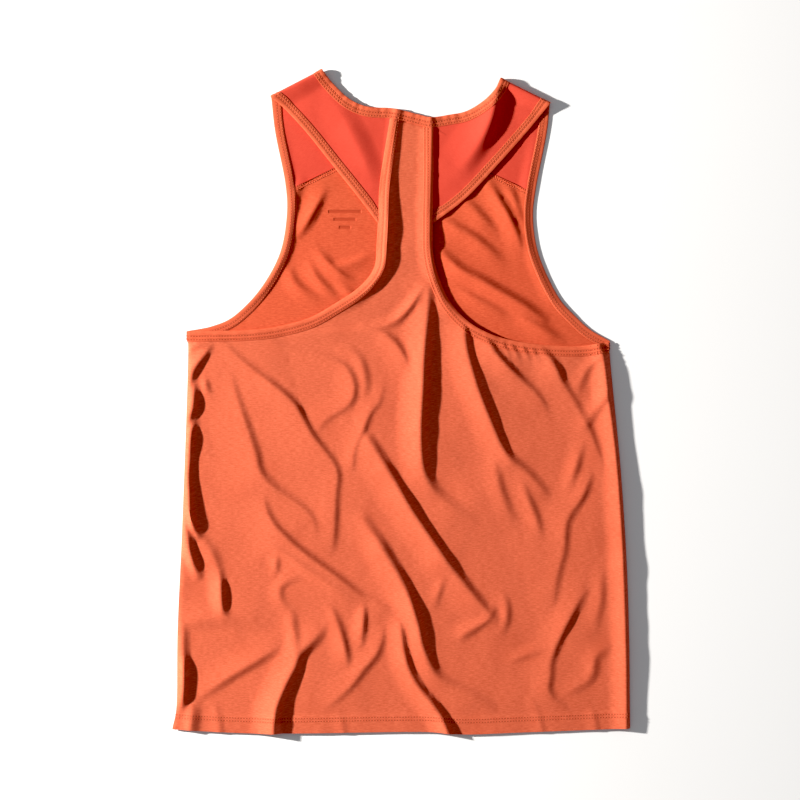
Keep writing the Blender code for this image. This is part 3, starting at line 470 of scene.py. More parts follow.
def smooth_line(points, step):
    """A Catmull-Rom curve through the points, as vertices about one step apart."""
    points = np.array(points, float)
    padded = np.vstack([2 * points[0] - points[1], points, 2 * points[-1] - points[-2]])
    dense = []
    for before, start, end, after in zip(padded, padded[1:], padded[2:], padded[3:]):
        for t in np.linspace(0, 1, CURVE_STEPS, endpoint=False):
            bend = 2 * before - 5 * start + 4 * end - after
            twist = 3 * start - before - 3 * end + after
            dense.append(0.5 * (2 * start + (end - before) * t + bend * t**2 + twist * t**3))
    dense.append(points[-1])
    dense = np.array(dense)
    total = arc_lengths(dense)[-1]
    return along_line(dense, np.linspace(0, total, max(2, round(total / step) + 1)))


def left_normals(line):
    tangents = np.gradient(line, axis=0)
    tangents /= np.linalg.norm(tangents, axis=1)[:, None]
    return np.column_stack([-tangents[:, 1], tangents[:, 0]])


def shifted(line, distance):
    """The line moved to its left hand."""
    return line + left_normals(line) * distance


def measured_from(points, line):
    """Each point's distance to the line, how far along the line that is, and its side: +1 abreast of the
    line on its left hand, -1 on its right hand, and between them past its ends."""
    steps = np.diff(line, axis=0)
    offsets = points[:, None] - line[None, :-1]
    share = np.clip((offsets * steps).sum(2) / (steps**2).sum(1), 0, 1)
    gaps = offsets - share[..., None] * steps
    distances = np.linalg.norm(gaps, axis=2)
    nearest = distances.argmin(1)
    rows = np.arange(len(points))
    gap, step = gaps[rows, nearest], steps[nearest]
    distance = distances[rows, nearest]
    lengths = arc_lengths(line)
    steps_long = np.diff(lengths)[nearest]
    side = (step[:, 0] * gap[:, 1] - step[:, 1] * gap[:, 0]) / (steps_long * np.maximum(distance, 1e-6))
    return distance, lengths[nearest] + share[rows, nearest] * steps_long, side


def place_on(line, point):
    """The arc length at which the line passes nearest to the point."""
    return float(measured_from(np.array([point], float), line)[1][0])


def stretch(line, start, end):
    """The part of a line between two arc lengths, with the line's own vertices."""
    lengths = arc_lengths(line)
    inner = line[(lengths > start + END_GAP) & (lengths < end - END_GAP)]
    return np.vstack([along_line(line, [start]), inner, along_line(line, [end])])


def matched(line, guide):
    """Points on a line at the same shares of its length as the guide's vertices."""
    shares = arc_lengths(guide) / arc_lengths(guide)[-1]
    return along_line(line, shares * arc_lengths(line)[-1])


# ------------------------------------------------------------------ heights
def eased(share):
    share = np.clip(share, 0, 1)
    return share * share * (3 - 2 * share)


def fold_height(points, fold):
    _, steep, gentle, crest = fold
    line = smooth_line(crest, FOLD_STEP)
    plan = line[:, :2]
    reach = max(steep, gentle)
    near = ((points > plan.min(0) - reach) & (points < plan.max(0) + reach)).all(1)
    result = np.zeros(len(points))
    if not near.any():
        return result
    distance, along, side = measured_from(points[near], plan)
    rounded = np.hypot(distance, CREST_ROUND) - CREST_ROUND
    gently = np.clip(1 - rounded / gentle, 0, 1) ** GENTLE_POWER
    steeply = eased(1 - distance / steep)
    share = np.clip((1 + side) / 2, 0, 1)
    wobble = np.array([noise.noise((place / CREST_WAVE, steep, gentle)) for place in along])
    height = np.interp(along, arc_lengths(plan), np.maximum(line[:, 2], 0)) * (1 + UNEVEN_CREST * wobble)
    result[near] = height * (steeply * share + gently * (1 - share))
    return result


def relief(points, folds):
    """The height of all the folds at each place: it follows the highest one and rounds the valleys."""
    return np.cbrt(sum(fold_height(points, fold) ** 3 for fold in folds))


def ripple(points, waves, least):
    """Smooth unevenness that sinks no lower than the least height."""
    return np.maximum(sum(
        height * np.array([noise.noise((x / size, y / size, layer)) for x, y in points])
        for size, height, layer in waves
    ), least)


def side_roll(points):
    """The share of its height that the back layer keeps near the side seams, as a round edge."""
    distances = []
    for table in SIDES.values():
        line = smooth_line(table["side"], GUIDE_STEP)[::-1]
        distances.append(np.abs(points[:, 0] - np.interp(points[:, 1], line[:, 1], line[:, 0])))
    distance = np.where(points[:, 1] < ROLL_TOP, np.min(distances, axis=0), SIDE_ROLL)
    return np.sqrt(1 - (1 - np.clip(distance / SIDE_ROLL, 0, 1)) ** 2)


def above_hem(points):
    line = smooth_line(HEM, GUIDE_STEP)
    return points[:, 1] - np.interp(points[:, 0], line[:, 0], line[:, 1])


def front_height(points):
    """The middle of the front layer."""
    return PANEL_SOLID / 2 + relief(points, FRONT_FOLDS + FRONT_CREASES) + ripple(points, *FRONT_RIPPLE)


def back_height(points):
    """The middle of the back layer."""
    folds = relief(points, BACK_FOLDS) + relief(points, BACK_CREASES) + ripple(points, *BACK_RIPPLE)
    hem = HEM_RISE * (1 - eased((above_hem(points) - HEM_DEPTH) / HEM_EASE))
    keep = side_roll(points)
    return PANEL_SOLID / 2 + BACK_LEVEL - ROLL_DROP * (1 - keep) + folds * keep + hem


def lifted(plan, height, raised=0.0):
    """Places in plan with their height."""
    plan = np.asarray(plan, float)
    up = height(plan.reshape(-1, 2)).reshape(plan.shape[:-1]) + raised
    return np.concatenate([plan, up[..., None]], axis=-1)


# ------------------------------------------------------------------ meshes
def add_object(name, data):
    piece = bpy.data.objects.new(name, data)
    bpy.context.scene.collection.objects.link(piece)
    return piece


def add_cloth(name, points, triangles, cut, marks):
    """A closed mesh with its faces turned outwards. cut is the place of each point on the flat cloth, and
    marks holds other values of each point."""
    corners = points[triangles]
    volume = np.einsum("ij,ij->", corners[:, 0], np.cross(corners[:, 1], corners[:, 2]))
    if volume < 0:
        triangles = triangles[:, ::-1]
    mesh = bpy.data.meshes.new(name)
    mesh.from_pydata((points / METRE).tolist(), [], triangles.tolist())
    layer = mesh.uv_layers.new(name="Cut")
    loops = np.empty(len(mesh.loops), dtype=np.int32)
    mesh.loops.foreach_get("vertex_index", loops)
    layer.data.foreach_set("uv", (cut[loops] / METRE).astype(np.float32).ravel())
    for label, values in marks.items():
        mark = mesh.attributes.new(label, "FLOAT", "POINT")
        mark.data.foreach_set("value", values.astype(np.float32))
    mesh.shade_smooth()
    mesh.set_sharp_from_angle(angle=SHARP_ANGLE)
    return add_object(name, mesh)


def halved(quads):
    return np.vstack([quads[:, [0, 1, 2]], quads[:, [0, 2, 3]]])


def loft(name, outer_rows, inner_rows, cut, marks, closed=False):
    """A wall between two equal sets of rows of points. marks holds values for the rows' points."""
    count, columns = outer_rows.shape[:2]
    skins = np.stack([outer_rows, inner_rows])
    index = np.arange(2 * count * columns).reshape(2, count, columns)
    if closed:
        index = np.concatenate([index, index[:, :1]], axis=1)
    outer, inner = index

    def strip(first, second):
        return np.column_stack([first[:-1], first[1:], second[1:], second[:-1]])

    pairs = list(zip(range(columns - 1), range(1, columns)))
    quads = [strip(outer[:, i], outer[:, j]) for i, j in pairs]
    quads += [strip(inner[:, j], inner[:, i]) for i, j in pairs]
    quads += [strip(outer[:, -1], inner[:, -1]), strip(inner[:, 0], outer[:, 0])]
    if not closed:
        quads += [strip(outer[0], inner[0]), strip(inner[-1], outer[-1])]
    flat = np.stack([cut, cut]).reshape(-1, 2)
    marks = {label: np.stack([values, values]).ravel() for label, values in marks.items()}
    return add_cloth(name, skins.reshape(-1, 3), halved(np.vstack(quads)), flat, marks)


def inside(points, outline):
    """Whether each point lies inside the closed outline."""
    after = np.roll(outline, -1, axis=0)
    found = []
    for part in np.array_split(points, max(1, len(points) // TEST_BATCH)):
        x, y = part[:, :1], part[:, 1:]
        spans = (outline[:, 1] > y) != (after[:, 1] > y)
        rise = np.where(after[:, 1] == outline[:, 1], 1, after[:, 1] - outline[:, 1])
        slope = (after[:, 0] - outline[:, 0]) / rise
        crossings = spans & (x < outline[:, 0] + slope * (y - outline[:, 1]))
        found.append(crossings.sum(1) % 2 == 1)
    return np.concatenate(found)


def thinned(candidates, taken, least):
    """The candidates that keep their distance from the places already taken and from one another."""
    cells, kept = {}, []
    around = [(i, j) for i in (-1, 0, 1) for j in (-1, 0, 1)]
    for number, (x, y) in enumerate(np.vstack([taken, candidates])):
        column, row = math.floor(x / least), math.floor(y / least)
        near = (place for i, j in around for place in cells.get((column + i, row + j), ()))
        is_new = number >= len(taken)
        if not is_new or all(math.hypot(x - other[0], y - other[1]) >= least for other in near):
            cells.setdefault((column, row), []).append((x, y))
            if is_new:
                kept.append((x, y))
    return np.array(kept).reshape(-1, 2)


def filling(outline, folds, step):
    """Points inside the outline: along the crests and their flanks, and a staggered grid between them."""
    crests = []
    for _, _, _, crest in folds:
        line = smooth_line(crest, CREST_STEP)[:, :2]
        crests += [shifted(line, offset) for offset in CREST_ROWS]
    crests = np.vstack(crests)
    crests = thinned(crests[inside(crests, outline)], outline, CREST_STEP * CREST_SPACING)
    low, high = outline.min(0), outline.max(0)
    rows = np.arange(low[1], high[1], step * math.sqrt(0.75))
    grid = np.array([
        (x + (number % 2) * step / 2, y)
        for number, y in enumerate(rows)
        for x in np.arange(low[0], high[0], step)
    ])
    grid = thinned(grid[inside(grid, outline)], np.vstack([outline, crests]), step * GRID_SPACING)
    return np.vstack([crests, grid])


def panel(name, outline, height, folds, step, row_place=above_hem):
    """A thin wall over an outline, between two equal skins. row_place tells how far each place is from the
    edge that its twin stitching follows."""
    corners = np.vstack([outline, filling(outline, folds, step)])
    count = len(outline)
    edges = [(i, (i + 1) % count) for i in range(count)]
    vertices, _, faces, *_ = delaunay_2d_cdt(corners.tolist(), edges, [], 1, MERGE_GAP)
    plan, faces = np.array([tuple(v) for v in vertices]), np.array(faces)
    first, second = plan[faces[:, 1]] - plan[faces[:, 0]], plan[faces[:, 2]] - plan[faces[:, 0]]
    turned = first[:, 0] * second[:, 1] - first[:, 1] * second[:, 0] < 0
    faces[turned] = faces[turned][:, ::-1]
    mid = lifted(plan, height)
    half = np.array([0, 0, KNIT_WALL / 2])
    total = len(plan)
    sides = np.vstack([faces[:, [0, 1]], faces[:, [1, 2]], faces[:, [2, 0]]])
    rim = sides[~np.isin(sides[:, 0] * total + sides[:, 1], sides[:, 1] * total + sides[:, 0])]
    walls = np.column_stack([rim[:, 1], rim[:, 0], rim[:, 0] + total, rim[:, 1] + total])
    cut = plan + mid[:, 2:] * CUT_SLANT
    place = row_place(plan)
    return add_cloth(
        name,
        np.vstack([mid + half, mid - half]),
        np.vstack([faces, faces[:, ::-1] + total, halved(walls)]),
        np.vstack([cut, cut]),
        {"row_place": np.concatenate([place, place]) / METRE},
    )


# ------------------------------------------------------------------ bindings in plan
def unit(vector):
    vector = np.array(vector, float)
    return vector / np.linalg.norm(vector)


def crease_frame(side):
    """The shoulder crease moved in to where the walls start to bend: its ends, direction and outer side."""
    armhole, neck = (np.array(end, float) for end in SIDES[side]["crease"])
    direction = unit(neck - armhole)
    outer = SIDES[side]["hand"] * np.array([-direction[1], direction[0]])
    return armhole - outer * CREASE_INSET, neck - outer * CREASE_INSET, direction, outer


def binding_rows(free_edge, width, first, last):
    """A binding in plan: its free edge and its seam edge. Width is to the left hand of the free edge.
    The first and last rows are the given vectors, and the rows near them turn gradually."""
    vectors = left_normals(free_edge) * width
    lengths = arc_lengths(free_edge)
    for vector, distance in ((first, lengths), (last, lengths[-1] - lengths)):
        weight = eased(1 - distance / TURN_LENGTH)[:, None]
        vectors = vectors * (1 - weight) + np.array(vector, float) * weight
    return free_edge, free_edge + vectors


def across(rows, shares):
    """Points across each row, at these shares of the way from the free edge to the seam edge."""
    shares = np.asarray(shares, float)[None, :, None]
    return rows[0][:, None] * (1 - shares) + rows[1][:, None] * shares


def bend_rows(side, from_row, to_row, upwards):
    """The rows of a fold over the shoulder between two layers, with their outer directions."""
    outer = np.array([*crease_frame(side)[3], 0])
    rows, directions = [], []
    for angle in np.arange(1, BEND_STEPS) * math.pi / BEND_STEPS:
        share = (1 - math.cos(angle)) / 2
        rows.append(from_row * (1 - share) + to_row * share + outer * BEND_REACH * math.sin(angle))
        rise = -math.cos(angle) if upwards else math.cos(angle)
        directions.append(outer * math.sin(angle) + np.array([0, 0, rise]))
    return np.array(rows), np.array(directions)


def facing(rows, height):
    return np.tile([0.0, 0.0, float(height)], (len(rows), 1))


def neck_plan():
    """The back and the front halves of the neck binding in plan, both as free edge and seam edge."""
    _, left_end, left_along, _ = crease_frame("left")
    _, right_end, right_along, _ = crease_frame("right")
    left_row, right_row = -left_along * NECK_BINDING, -right_along * NECK_BINDING
    back_edge = smooth_line([left_end, *BACK_NECK, right_end], OUTLINE_STEP)
    front_edge = smooth_line([right_end, *FRONT_NECK, left_end], OUTLINE_STEP)
    back = binding_rows(back_edge, -NECK_BINDING, left_row, right_row)
    front = binding_rows(front_edge, NECK_BINDING, right_row, left_row)
    return back, front


def side_plan(side, back_neck_seam):
    """The bindings of one side in plan: the front one below and above the crease, and the back one."""
    table = SIDES[side]
    hand = table["hand"]
    armhole_end, _, direction, _ = crease_frame(side)
    crease_row = direction * CREASE_BINDING
    down = np.array([0.0, -1.0])
    rising = smooth_line([*table["front_armhole"], armhole_end], OUTLINE_STEP)
    below = binding_rows(rising, -hand * FRONT_BINDING, down * FRONT_BINDING, crease_row)
    strip = smooth_line(table["back_armhole"], OUTLINE_STEP)
    seam_x, seam_y = back_neck_seam.T
    ahead = strip[0, 0] + hand * BACK_BINDING
    strip[0, 1] = np.interp(strip[0, 0], seam_x, seam_y) + NECK_TUCK
    top_row = (hand * BACK_BINDING, np.interp(ahead, seam_x, seam_y) + NECK_TUCK - strip[0, 1])
    back = binding_rows(strip, hand * BACK_BINDING, top_row, down * BACK_BINDING)
    beside = shifted(strip, -hand * 2 * SEAM_GAP)
    foot = place_on(beside, table["yoke_edge"][-1])
    tuck, tuck_top = along_line(beside, [foot, foot - TUCK_LENGTH])
    falling = smooth_line([armhole_end, *table["yoke_edge"][:-1], tuck], OUTLINE_STEP)
    above = binding_rows(falling, hand * FRONT_BINDING, crease_row, tuck_top - tuck)
    return {"below": below, "above": above, "back": back}


# ------------------------------------------------------------------ bindings
COLUMN_SHARES = (1 - np.cos(np.linspace(0, math.pi, BINDING_COLUMNS))) / 2


def binding_wall(name, rows, outward, width, closed=False, pucker=PUCKER):
    """A folded binding: rounded edges, a groove under each row of stitches and small puckers."""
    edge = np.sqrt(1 - np.abs(2 * COLUMN_SHARES - 1) ** EDGE_POWER)
    half = BINDING_WALL / 2 * (EDGE_SHARE + (1 - EDGE_SHARE) * edge)
    run = arc_lengths(rows[:, BINDING_COLUMNS // 2])
    grooves = sum(np.exp(-(((COLUMN_SHARES - share) * width / GROOVE_WIDTH) ** 2)) for share in BINDING_ROWS)
    waves = np.array([noise.noise((place / PUCKER_SIZE, 0.0, PUCKER_LAYER)) for place in run])
    puckers = pucker * waves[:, None] * (1 - COLUMN_SHARES**2)
    outer_rows = rows + outward[:, None] * (half - GROOVE_DEPTH * grooves + puckers)[..., None]
    inner_rows = rows - outward[:, None] * half[:, None]
    cut = np.stack(np.broadcast_arrays(run[:, None], COLUMN_SHARES * width), axis=-1)
    groove = np.broadcast_to(grooves, rows.shape[:2])
    return loft(name, outer_rows, inner_rows, cut, {"groove": groove}, closed)


def laid(plan, height, raised):
    """A binding's rows on a layer."""
    return lifted(across(plan, COLUMN_SHARES), height, BINDING_LIFT + raised)


def make_neck_binding(back, front):
    back_rows = laid(back, back_height, NECK_RAISED)
    front_rows = laid(front, front_height, NECK_RAISED)
    over_right, turn_right = bend_rows("right", back_rows[-1], front_rows[0], upwards=False)
    over_left, turn_left = bend_rows("left", front_rows[-1], back_rows[0], upwards=True)
    rows = np.concatenate([back_rows, over_right, front_rows, over_left])
    up, down = facing(back_rows, 1), facing(front_rows, -1)
    outward = np.concatenate([up, turn_right, down, turn_left])
    return binding_wall("neck_band", rows, outward, NECK_BINDING, closed=True, pucker=NECK_PUCKER)


def over_shoulder(side, front_rows, back_rows):
    """The rows of a piece that goes from the front layer over the shoulder to the back layer, and their
    outer directions."""
    over, turn = bend_rows(side, front_rows[-1], back_rows[0], upwards=True)
    rows = np.concatenate([front_rows, over, back_rows])
    return rows, np.concatenate([facing(front_rows, -1), turn, facing(back_rows, 1)])


def make_front_binding(side, plan):
    below = laid(plan["below"], front_height, FRONT_RAISED)
    above = laid(plan["above"], back_height, BACK_RAISED)
    return binding_wall(f"front_armhole_band_{side}", *over_shoulder(side, below, above), FRONT_BINDING)


def make_back_binding(side, plan):
    rows = laid(plan["back"], back_height, BACK_RAISED)
    down = np.linalg.norm(rows[:, 0, :2] - rows[0, 0, :2], axis=1)
    rows[..., 2] -= (NECK_DROP * (1 - eased(down / (2 * NECK_TUCK))))[:, None]
    return binding_wall(f"back_armhole_band_{side}", rows, facing(rows, 1), BACK_BINDING)


# ------------------------------------------------------------------ yokes and panels
def yoke_edges(side, plan, back_neck, front_neck):
    """The yoke's two edges on the front layer and on the back layer, each from its far end to the crease
    or from the crease to its tip; the first of each pair is the armhole edge."""
    hand = SIDES[side]["hand"]
    seam_start, seam_end = SIDES[side]["front_seam"]
    armhole = shifted(plan["below"][1], -hand * SEAM_GAP)
    neck = shifted(front_neck[1], SEAM_GAP)
    if side == "right":
        neck = neck[::-1]
    neck = stretch(neck, place_on(neck, seam_end), arc_lengths(neck)[-1])
    armhole = stretch(armhole, place_on(armhole, seam_start), arc_lengths(armhole)[-1])
    front = matched(armhole, neck), neck

    neckline = shifted(back_neck[1], -SEAM_GAP)
    strip = shifted(plan["back"][0], -hand * SEAM_GAP)
    if side == "right":
        neckline = neckline[::-1]
    corner_x = strip[0, 0]
    order = np.argsort(neckline[:, 0])
    corner_y = np.interp(corner_x, neckline[order, 0], neckline[order, 1])
    before = neckline[hand * neckline[:, 0] < hand * corner_x - CORNER_GAP]
    diagonal = shifted(plan["above"][1], hand * SEAM_GAP)
    tip = place_on(strip, diagonal[-1]) - YOKE_TIP
    after = stretch(strip, 0, tip)[1:]
    inner = np.vstack([before, [(corner_x, corner_y)], after])
    outer = stretch(diagonal, 0, arc_lengths(diagonal)[-1] - YOKE_TIP)
    return front, (matched(outer, inner), inner)


def make_yoke(side, edges):
    shares = np.linspace(0, 1, YOKE_COLUMNS)
    front_rows = lifted(across(edges[0], shares), front_height)
    back_rows = lifted(across(edges[1], shares), back_height)
    rows, outward = over_shoulder(side, front_rows, back_rows)
    half = outward[:, None] * WOVEN_WALL / 2
    run = arc_lengths(rows[:, YOKE_COLUMNS // 2])
    spread = np.linalg.norm(rows - rows[:, :1], axis=2)
    cut = np.stack(np.broadcast_arrays(spread, run[:, None]), axis=-1)
    return loft(f"yoke_cloth_{side}", rows + half, rows - half, cut, {})


def seam_ends(edges):
    """The ends of the seam between a yoke and the front panel, at the armhole and at the neck."""
    return edges[0][0][0], edges[0][1][0]


def below_seam(line, corner):
    """The part of a side seam that lies clear below a corner."""
    return line[line[:, 1] < corner[1] - CORNER_GAP]


def make_back_panel(plans, back_neck):
    left_seam = shifted(plans["left"]["back"][1], SEAM_GAP)
    right_seam = shifted(plans["right"]["back"][1], -SEAM_GAP)
    neckline = shifted(back_neck[1], -SEAM_GAP)
    for seam in (left_seam, right_seam):
        seam[0, 1] = np.interp(seam[0, 0], neckline[:, 0], neckline[:, 1]) + NECK_TUCK
    between = (neckline[:, 0] > left_seam[0, 0] + END_GAP) & (neckline[:, 0] < right_seam[0, 0] - END_GAP)
    top = neckline[between] + np.array([0, NECK_TUCK])
    left_side, right_side = (
        below_seam(smooth_line(SIDES[side]["side"], OUTLINE_STEP), seam[-1])
        for side, seam in (("left", left_seam), ("right", right_seam))
    )
    hem = smooth_line(HEM, OUTLINE_STEP)
    outline = np.vstack([
        top, right_seam, right_side[:-1], hem[::-1][:-1], left_side[::-1], left_seam[::-1],
    ])

    def tucked_height(points):
        past = points[:, 1] - np.interp(points[:, 0], neckline[:, 0], neckline[:, 1])
        return back_height(points) - NECK_DROP * eased(past / NECK_TUCK + NECK_EASE)

    return panel("back_cloth", outline[::-1], tucked_height, BACK_FOLDS, PANEL_STEP)


def make_front_panel(plans, front_neck, edges):
    sides = {}
    for side in SIDES:
        hand = SIDES[side]["hand"]
        binding = shifted(plans[side]["below"][1], -hand * SEAM_GAP)
        binding = stretch(binding, 0, place_on(binding, seam_ends(edges[side])[0]) - 2 * SEAM_GAP)
        line = shifted(smooth_line(SIDES[side]["side"], OUTLINE_STEP), hand * FRONT_INSET)
        sides[side] = below_seam(line, binding[0])[::-1], binding
    neck = shifted(front_neck[1], SEAM_GAP)
    start, end = (place_on(neck, seam_ends(edges[side])[1]) for side in ("right", "left"))
    neck = stretch(neck, start + 2 * SEAM_GAP, end - 2 * SEAM_GAP)
    hem = shifted(smooth_line(HEM, OUTLINE_STEP), FRONT_INSET)[1:-1]
    outline = np.vstack([hem, *sides["right"], neck, sides["left"][1][::-1], sides["left"][0][::-1]])

    def row_place(points):
        """Above the hem, and below a yoke seam as if it were the hem, so that both seams' rows match."""
        place = above_hem(points)
        for pair in edges.values():
            distance = measured_from(points, np.array(seam_ends(pair)))[0]
            place = np.where(distance < 3 * YOKE_ROWS[1], distance + HEM_ROWS[0] - YOKE_ROWS[0], place)
        return place

    return panel("front_cloth", outline, front_height, FRONT_FOLDS, FRONT_STEP, row_place)


# ------------------------------------------------------------------ node trees
def new_tree(name, kind, inputs, output):
    """A node group with these inputs, as label, type and value, and this output, as label and type. Gives
    the tree, the inputs as they are inside it, and their identifiers."""
    tree = bpy.data.node_groups.new(name, kind)
    identifiers = {}
    for label, data, value in inputs:
        socket = tree.interface.new_socket(label, in_out="INPUT", socket_type=f"NodeSocket{data}")
        if value is not None:
            socket.default_value = value
        identifiers[label] = socket.identifier
    tree.interface.new_socket(output[0], in_out="OUTPUT", socket_type=f"NodeSocket{output[1]}")
    return tree, tree.nodes.new("NodeGroupInput").outputs, identifiers


def give(tree, node, inputs):
    """Gives each input a value, another node's socket, or another node's first output."""
    for name, value in inputs.items():
        if isinstance(value, bpy.types.Node):
            value = value.outputs[0]
        if isinstance(value, bpy.types.NodeSocket):
            tree.links.new(value, node.inputs[name])
        else:
            node.inputs[name].default_value = value
    return node


def put(tree, kind, inputs, **settings):
    """A new node with these settings and inputs."""
    node = tree.nodes.new(kind)
    for name, value in settings.items():
        setattr(node, name, value)
    return give(tree, node, inputs)


def step(tree, operation, *values):
    """One step of arithmetic."""
    return put(tree, "ShaderNodeMath", dict(enumerate(values)), operation=operation)


def mapped(tree, value, low=0.0, high=1.0, to_low=0.0, to_high=1.0):
    """The value moved from one range to another."""
    return put(tree, "ShaderNodeMapRange", {
        "Value": value, "From Min": low, "From Max": high, "To Min": to_low, "To Max": to_high,
    })


# ------------------------------------------------------------------ stitches
def stitch_tree():
    """Geometry nodes that set small threads along the edges of a mesh."""
    tree, given, sockets = new_tree("Stitches along a seam", "GeometryNodeTree", (
        ("Seam lines", "Geometry", None), ("Pitch", "Float", STITCH_PITCH / METRE),
        ("Thread length", "Float", STITCH_LENGTH / METRE), ("Thread width", "Float", STITCH_WIDTH / METRE),
        ("Thread height", "Float", STITCH_HEIGHT / METRE), ("Seed", "Int", None),
        ("Thread", "Material", None),
    ), ("Stitches", "Geometry"))
    curve = put(tree, "GeometryNodeMeshToCurve", {"Mesh": given["Seam lines"]})
    spaced = put(tree, "GeometryNodeResampleCurve", {
        "Curve": curve, "Length": given["Pitch"],
    }, mode="LENGTH")
    bead = put(tree, "GeometryNodeMeshUVSphere", {
        "Segments": THREAD_SEGMENTS, "Rings": THREAD_RINGS, "Radius": 0.5,
    })
    size = put(tree, "ShaderNodeCombineXYZ", {
        "X": given["Thread length"], "Y": given["Thread width"], "Z": given["Thread height"],
    })
    shaped = put(tree, "GeometryNodeTransform", {"Geometry": bead, "Scale": size})
    tangent = tree.nodes.new("GeometryNodeInputTangent")
    turn = put(tree, "FunctionNodeAlignRotationToVector", {"Vector": tangent}, axis="X")
    uneven = put(tree, "FunctionNodeRandomValue", {
        "Min": LEAST_THREAD, "Max": MOST_THREAD, "Seed": given["Seed"],
    }, data_type="FLOAT_VECTOR")
    placed = put(tree, "GeometryNodeInstanceOnPoints", {
        "Points": spaced, "Instance": shaped, "Rotation": turn, "Scale": uneven,
    })
    real = put(tree, "GeometryNodeRealizeInstances", {"Geometry": placed})
    dyed = put(tree, "GeometryNodeSetMaterial", {"Geometry": real, "Material": given["Thread"]})
    put(tree, "NodeGroupOutput", {"Stitches": dyed})
    return tree, sockets


def sew(name, lines, tree, sockets, thread, seed, pitch):
    """A mesh of stitches along polylines in space."""
    edges, start = [], 0
    for line in lines:
        edges += [(start + i, start + i + 1) for i in range(len(line) - 1)]
        start += len(line)
    guide_mesh = bpy.data.meshes.new(f"{name}_guide")
    guide_mesh.from_pydata((np.vstack(lines) / METRE).tolist(), edges, [])
    guide = add_object(f"{name}_guide", guide_mesh)
    nodes = guide.modifiers.new("Stitches", "NODES")
    nodes.node_group = tree
    nodes[sockets["Pitch"]] = pitch / METRE
    nodes[sockets["Thread length"]] = pitch * STITCH_LENGTH / STITCH_PITCH / METRE
    nodes[sockets["Seed"]] = seed
    nodes[sockets["Thread"]] = thread
    graph = bpy.context.evaluated_depsgraph_get()
    mesh = bpy.data.meshes.new_from_object(guide.evaluated_get(graph))
    mesh.name = name
    mesh.materials.pop(index=0)
    mesh.polygons.foreach_set("material_index", [0] * len(mesh.polygons))
    mesh.shade_smooth()
    bpy.data.objects.remove(guide)
    bpy.data.meshes.remove(guide_mesh)
    return add_object(name, mesh)


def binding_seams(plans, back_neck):
    """The twin stitching along every binding, and the tack at the right side seam."""
    lines = []
    top = BINDING_LIFT + BINDING_WALL / 2 - GROOVE_DEPTH + STITCH_HEIGHT / 4
    for share in BINDING_ROWS:
        lines.append(lifted(across(back_neck, [share])[:, 0], back_height, top + NECK_RAISED))
        for plan in plans.values():
            for part, height, up in (
                ("back", back_height, top + BACK_RAISED), ("above", back_height, top + BACK_RAISED),
                ("below", front_height, BINDING_WALL / 2 + BACK_RAISED),
            ):
                lines.append(lifted(across(plan[part], [share])[:, 0], height, up))
    up = top + BACK_RAISED + GROOVE_DEPTH
    return lines + [lifted(smooth_line(tack, TACK_STEP), back_height, up) for tack in SIDE_TACKS]


def hem_seams():
    hem = smooth_line(HEM, HEM_ROW_STEP)
    up = KNIT_WALL / 2 + HEM_ROW_LIFT
    return [lifted(shifted(hem, distance)[1:-1], back_height, up) for distance in HEM_ROWS]


def yoke_seams(edges):
    """Twin rows on the front panel below each yoke seam, and the looped thread between them."""
    lines = []
    for side, table in SIDES.items():
        line = np.linspace(*seam_ends(edges[side]), YOKE_LOOPS)
        rows = [shifted(line, -table["hand"] * distance) for distance in YOKE_ROWS]
        looped = np.where((np.arange(YOKE_LOOPS) % 2 == 0)[:, None], *rows)
        up = KNIT_WALL / 2 + YOKE_ROW_LIFT
        lines += [lifted(row[1:-1], front_height, up) for row in (*rows, looped)]
    return lines


# ------------------------------------------------------------------ materials
def streak_group():
    """Heathered yarn: long, thin streaks across the cloth."""
    tree, given, _ = new_tree("Heather streaks", "ShaderNodeTree", (
        ("Vector", "Vector", None), ("Streak length", "Float", 0.012), ("Streak height", "Float", 0.0011),
        ("Seed", "Float", 0.0),
    ), ("Streak", "Float"))
    scale = put(tree, "ShaderNodeCombineXYZ", {
        "X": step(tree, "DIVIDE", 1.0, given["Streak length"]),
        "Y": step(tree, "DIVIDE", 1.0, given["Streak height"]),
    })
    stretched = put(tree, "ShaderNodeVectorMath", {0: given["Vector"], 1: scale}, operation="MULTIPLY")
    yarn = put(tree, "ShaderNodeTexNoise", {
        "Vector": stretched, "W": given["Seed"], "Scale": 1.0, "Detail": 2.5, "Roughness": 0.6,
    }, noise_dimensions="4D")
    put(tree, "NodeGroupOutput", {"Streak": yarn})
    return tree


def weave_group():
    """Rows and columns of loops or threads, as a height."""
    tree, given, _ = new_tree("Thread grid", "ShaderNodeTree", (
        ("Vector", "Vector", None), ("Across", "Float", 0.0009), ("Along", "Float", 0.0007),
    ), ("Height", "Float"))
    place = put(tree, "ShaderNodeSeparateXYZ", {"Vector": given["Vector"]}).outputs
    waves = []
    for axis, label in (("X", "Across"), ("Y", "Along")):
        turns = step(tree, "DIVIDE", place[axis], given[label])
        waves.append(step(tree, "SINE", step(tree, "MULTIPLY", turns, 2 * math.pi)))
    put(tree, "NodeGroupOutput", {"Height": step(tree, "MULTIPLY", *waves)})
    return tree


def mottle_group():
    """Soft, slow change of shade over the cloth."""
    tree, given, _ = new_tree("Soft mottle", "ShaderNodeTree", (
        ("Vector", "Vector", None), ("Size", "Float", 0.05),
    ), ("Shade", "Float"))
    cloud = put(tree, "ShaderNodeTexNoise", {
        "Vector": given["Vector"], "Scale": step(tree, "DIVIDE", 1.0, given["Size"]), "Detail": 3.0,
    })
    put(tree, "NodeGroupOutput", {"Shade": cloud})
    return tree


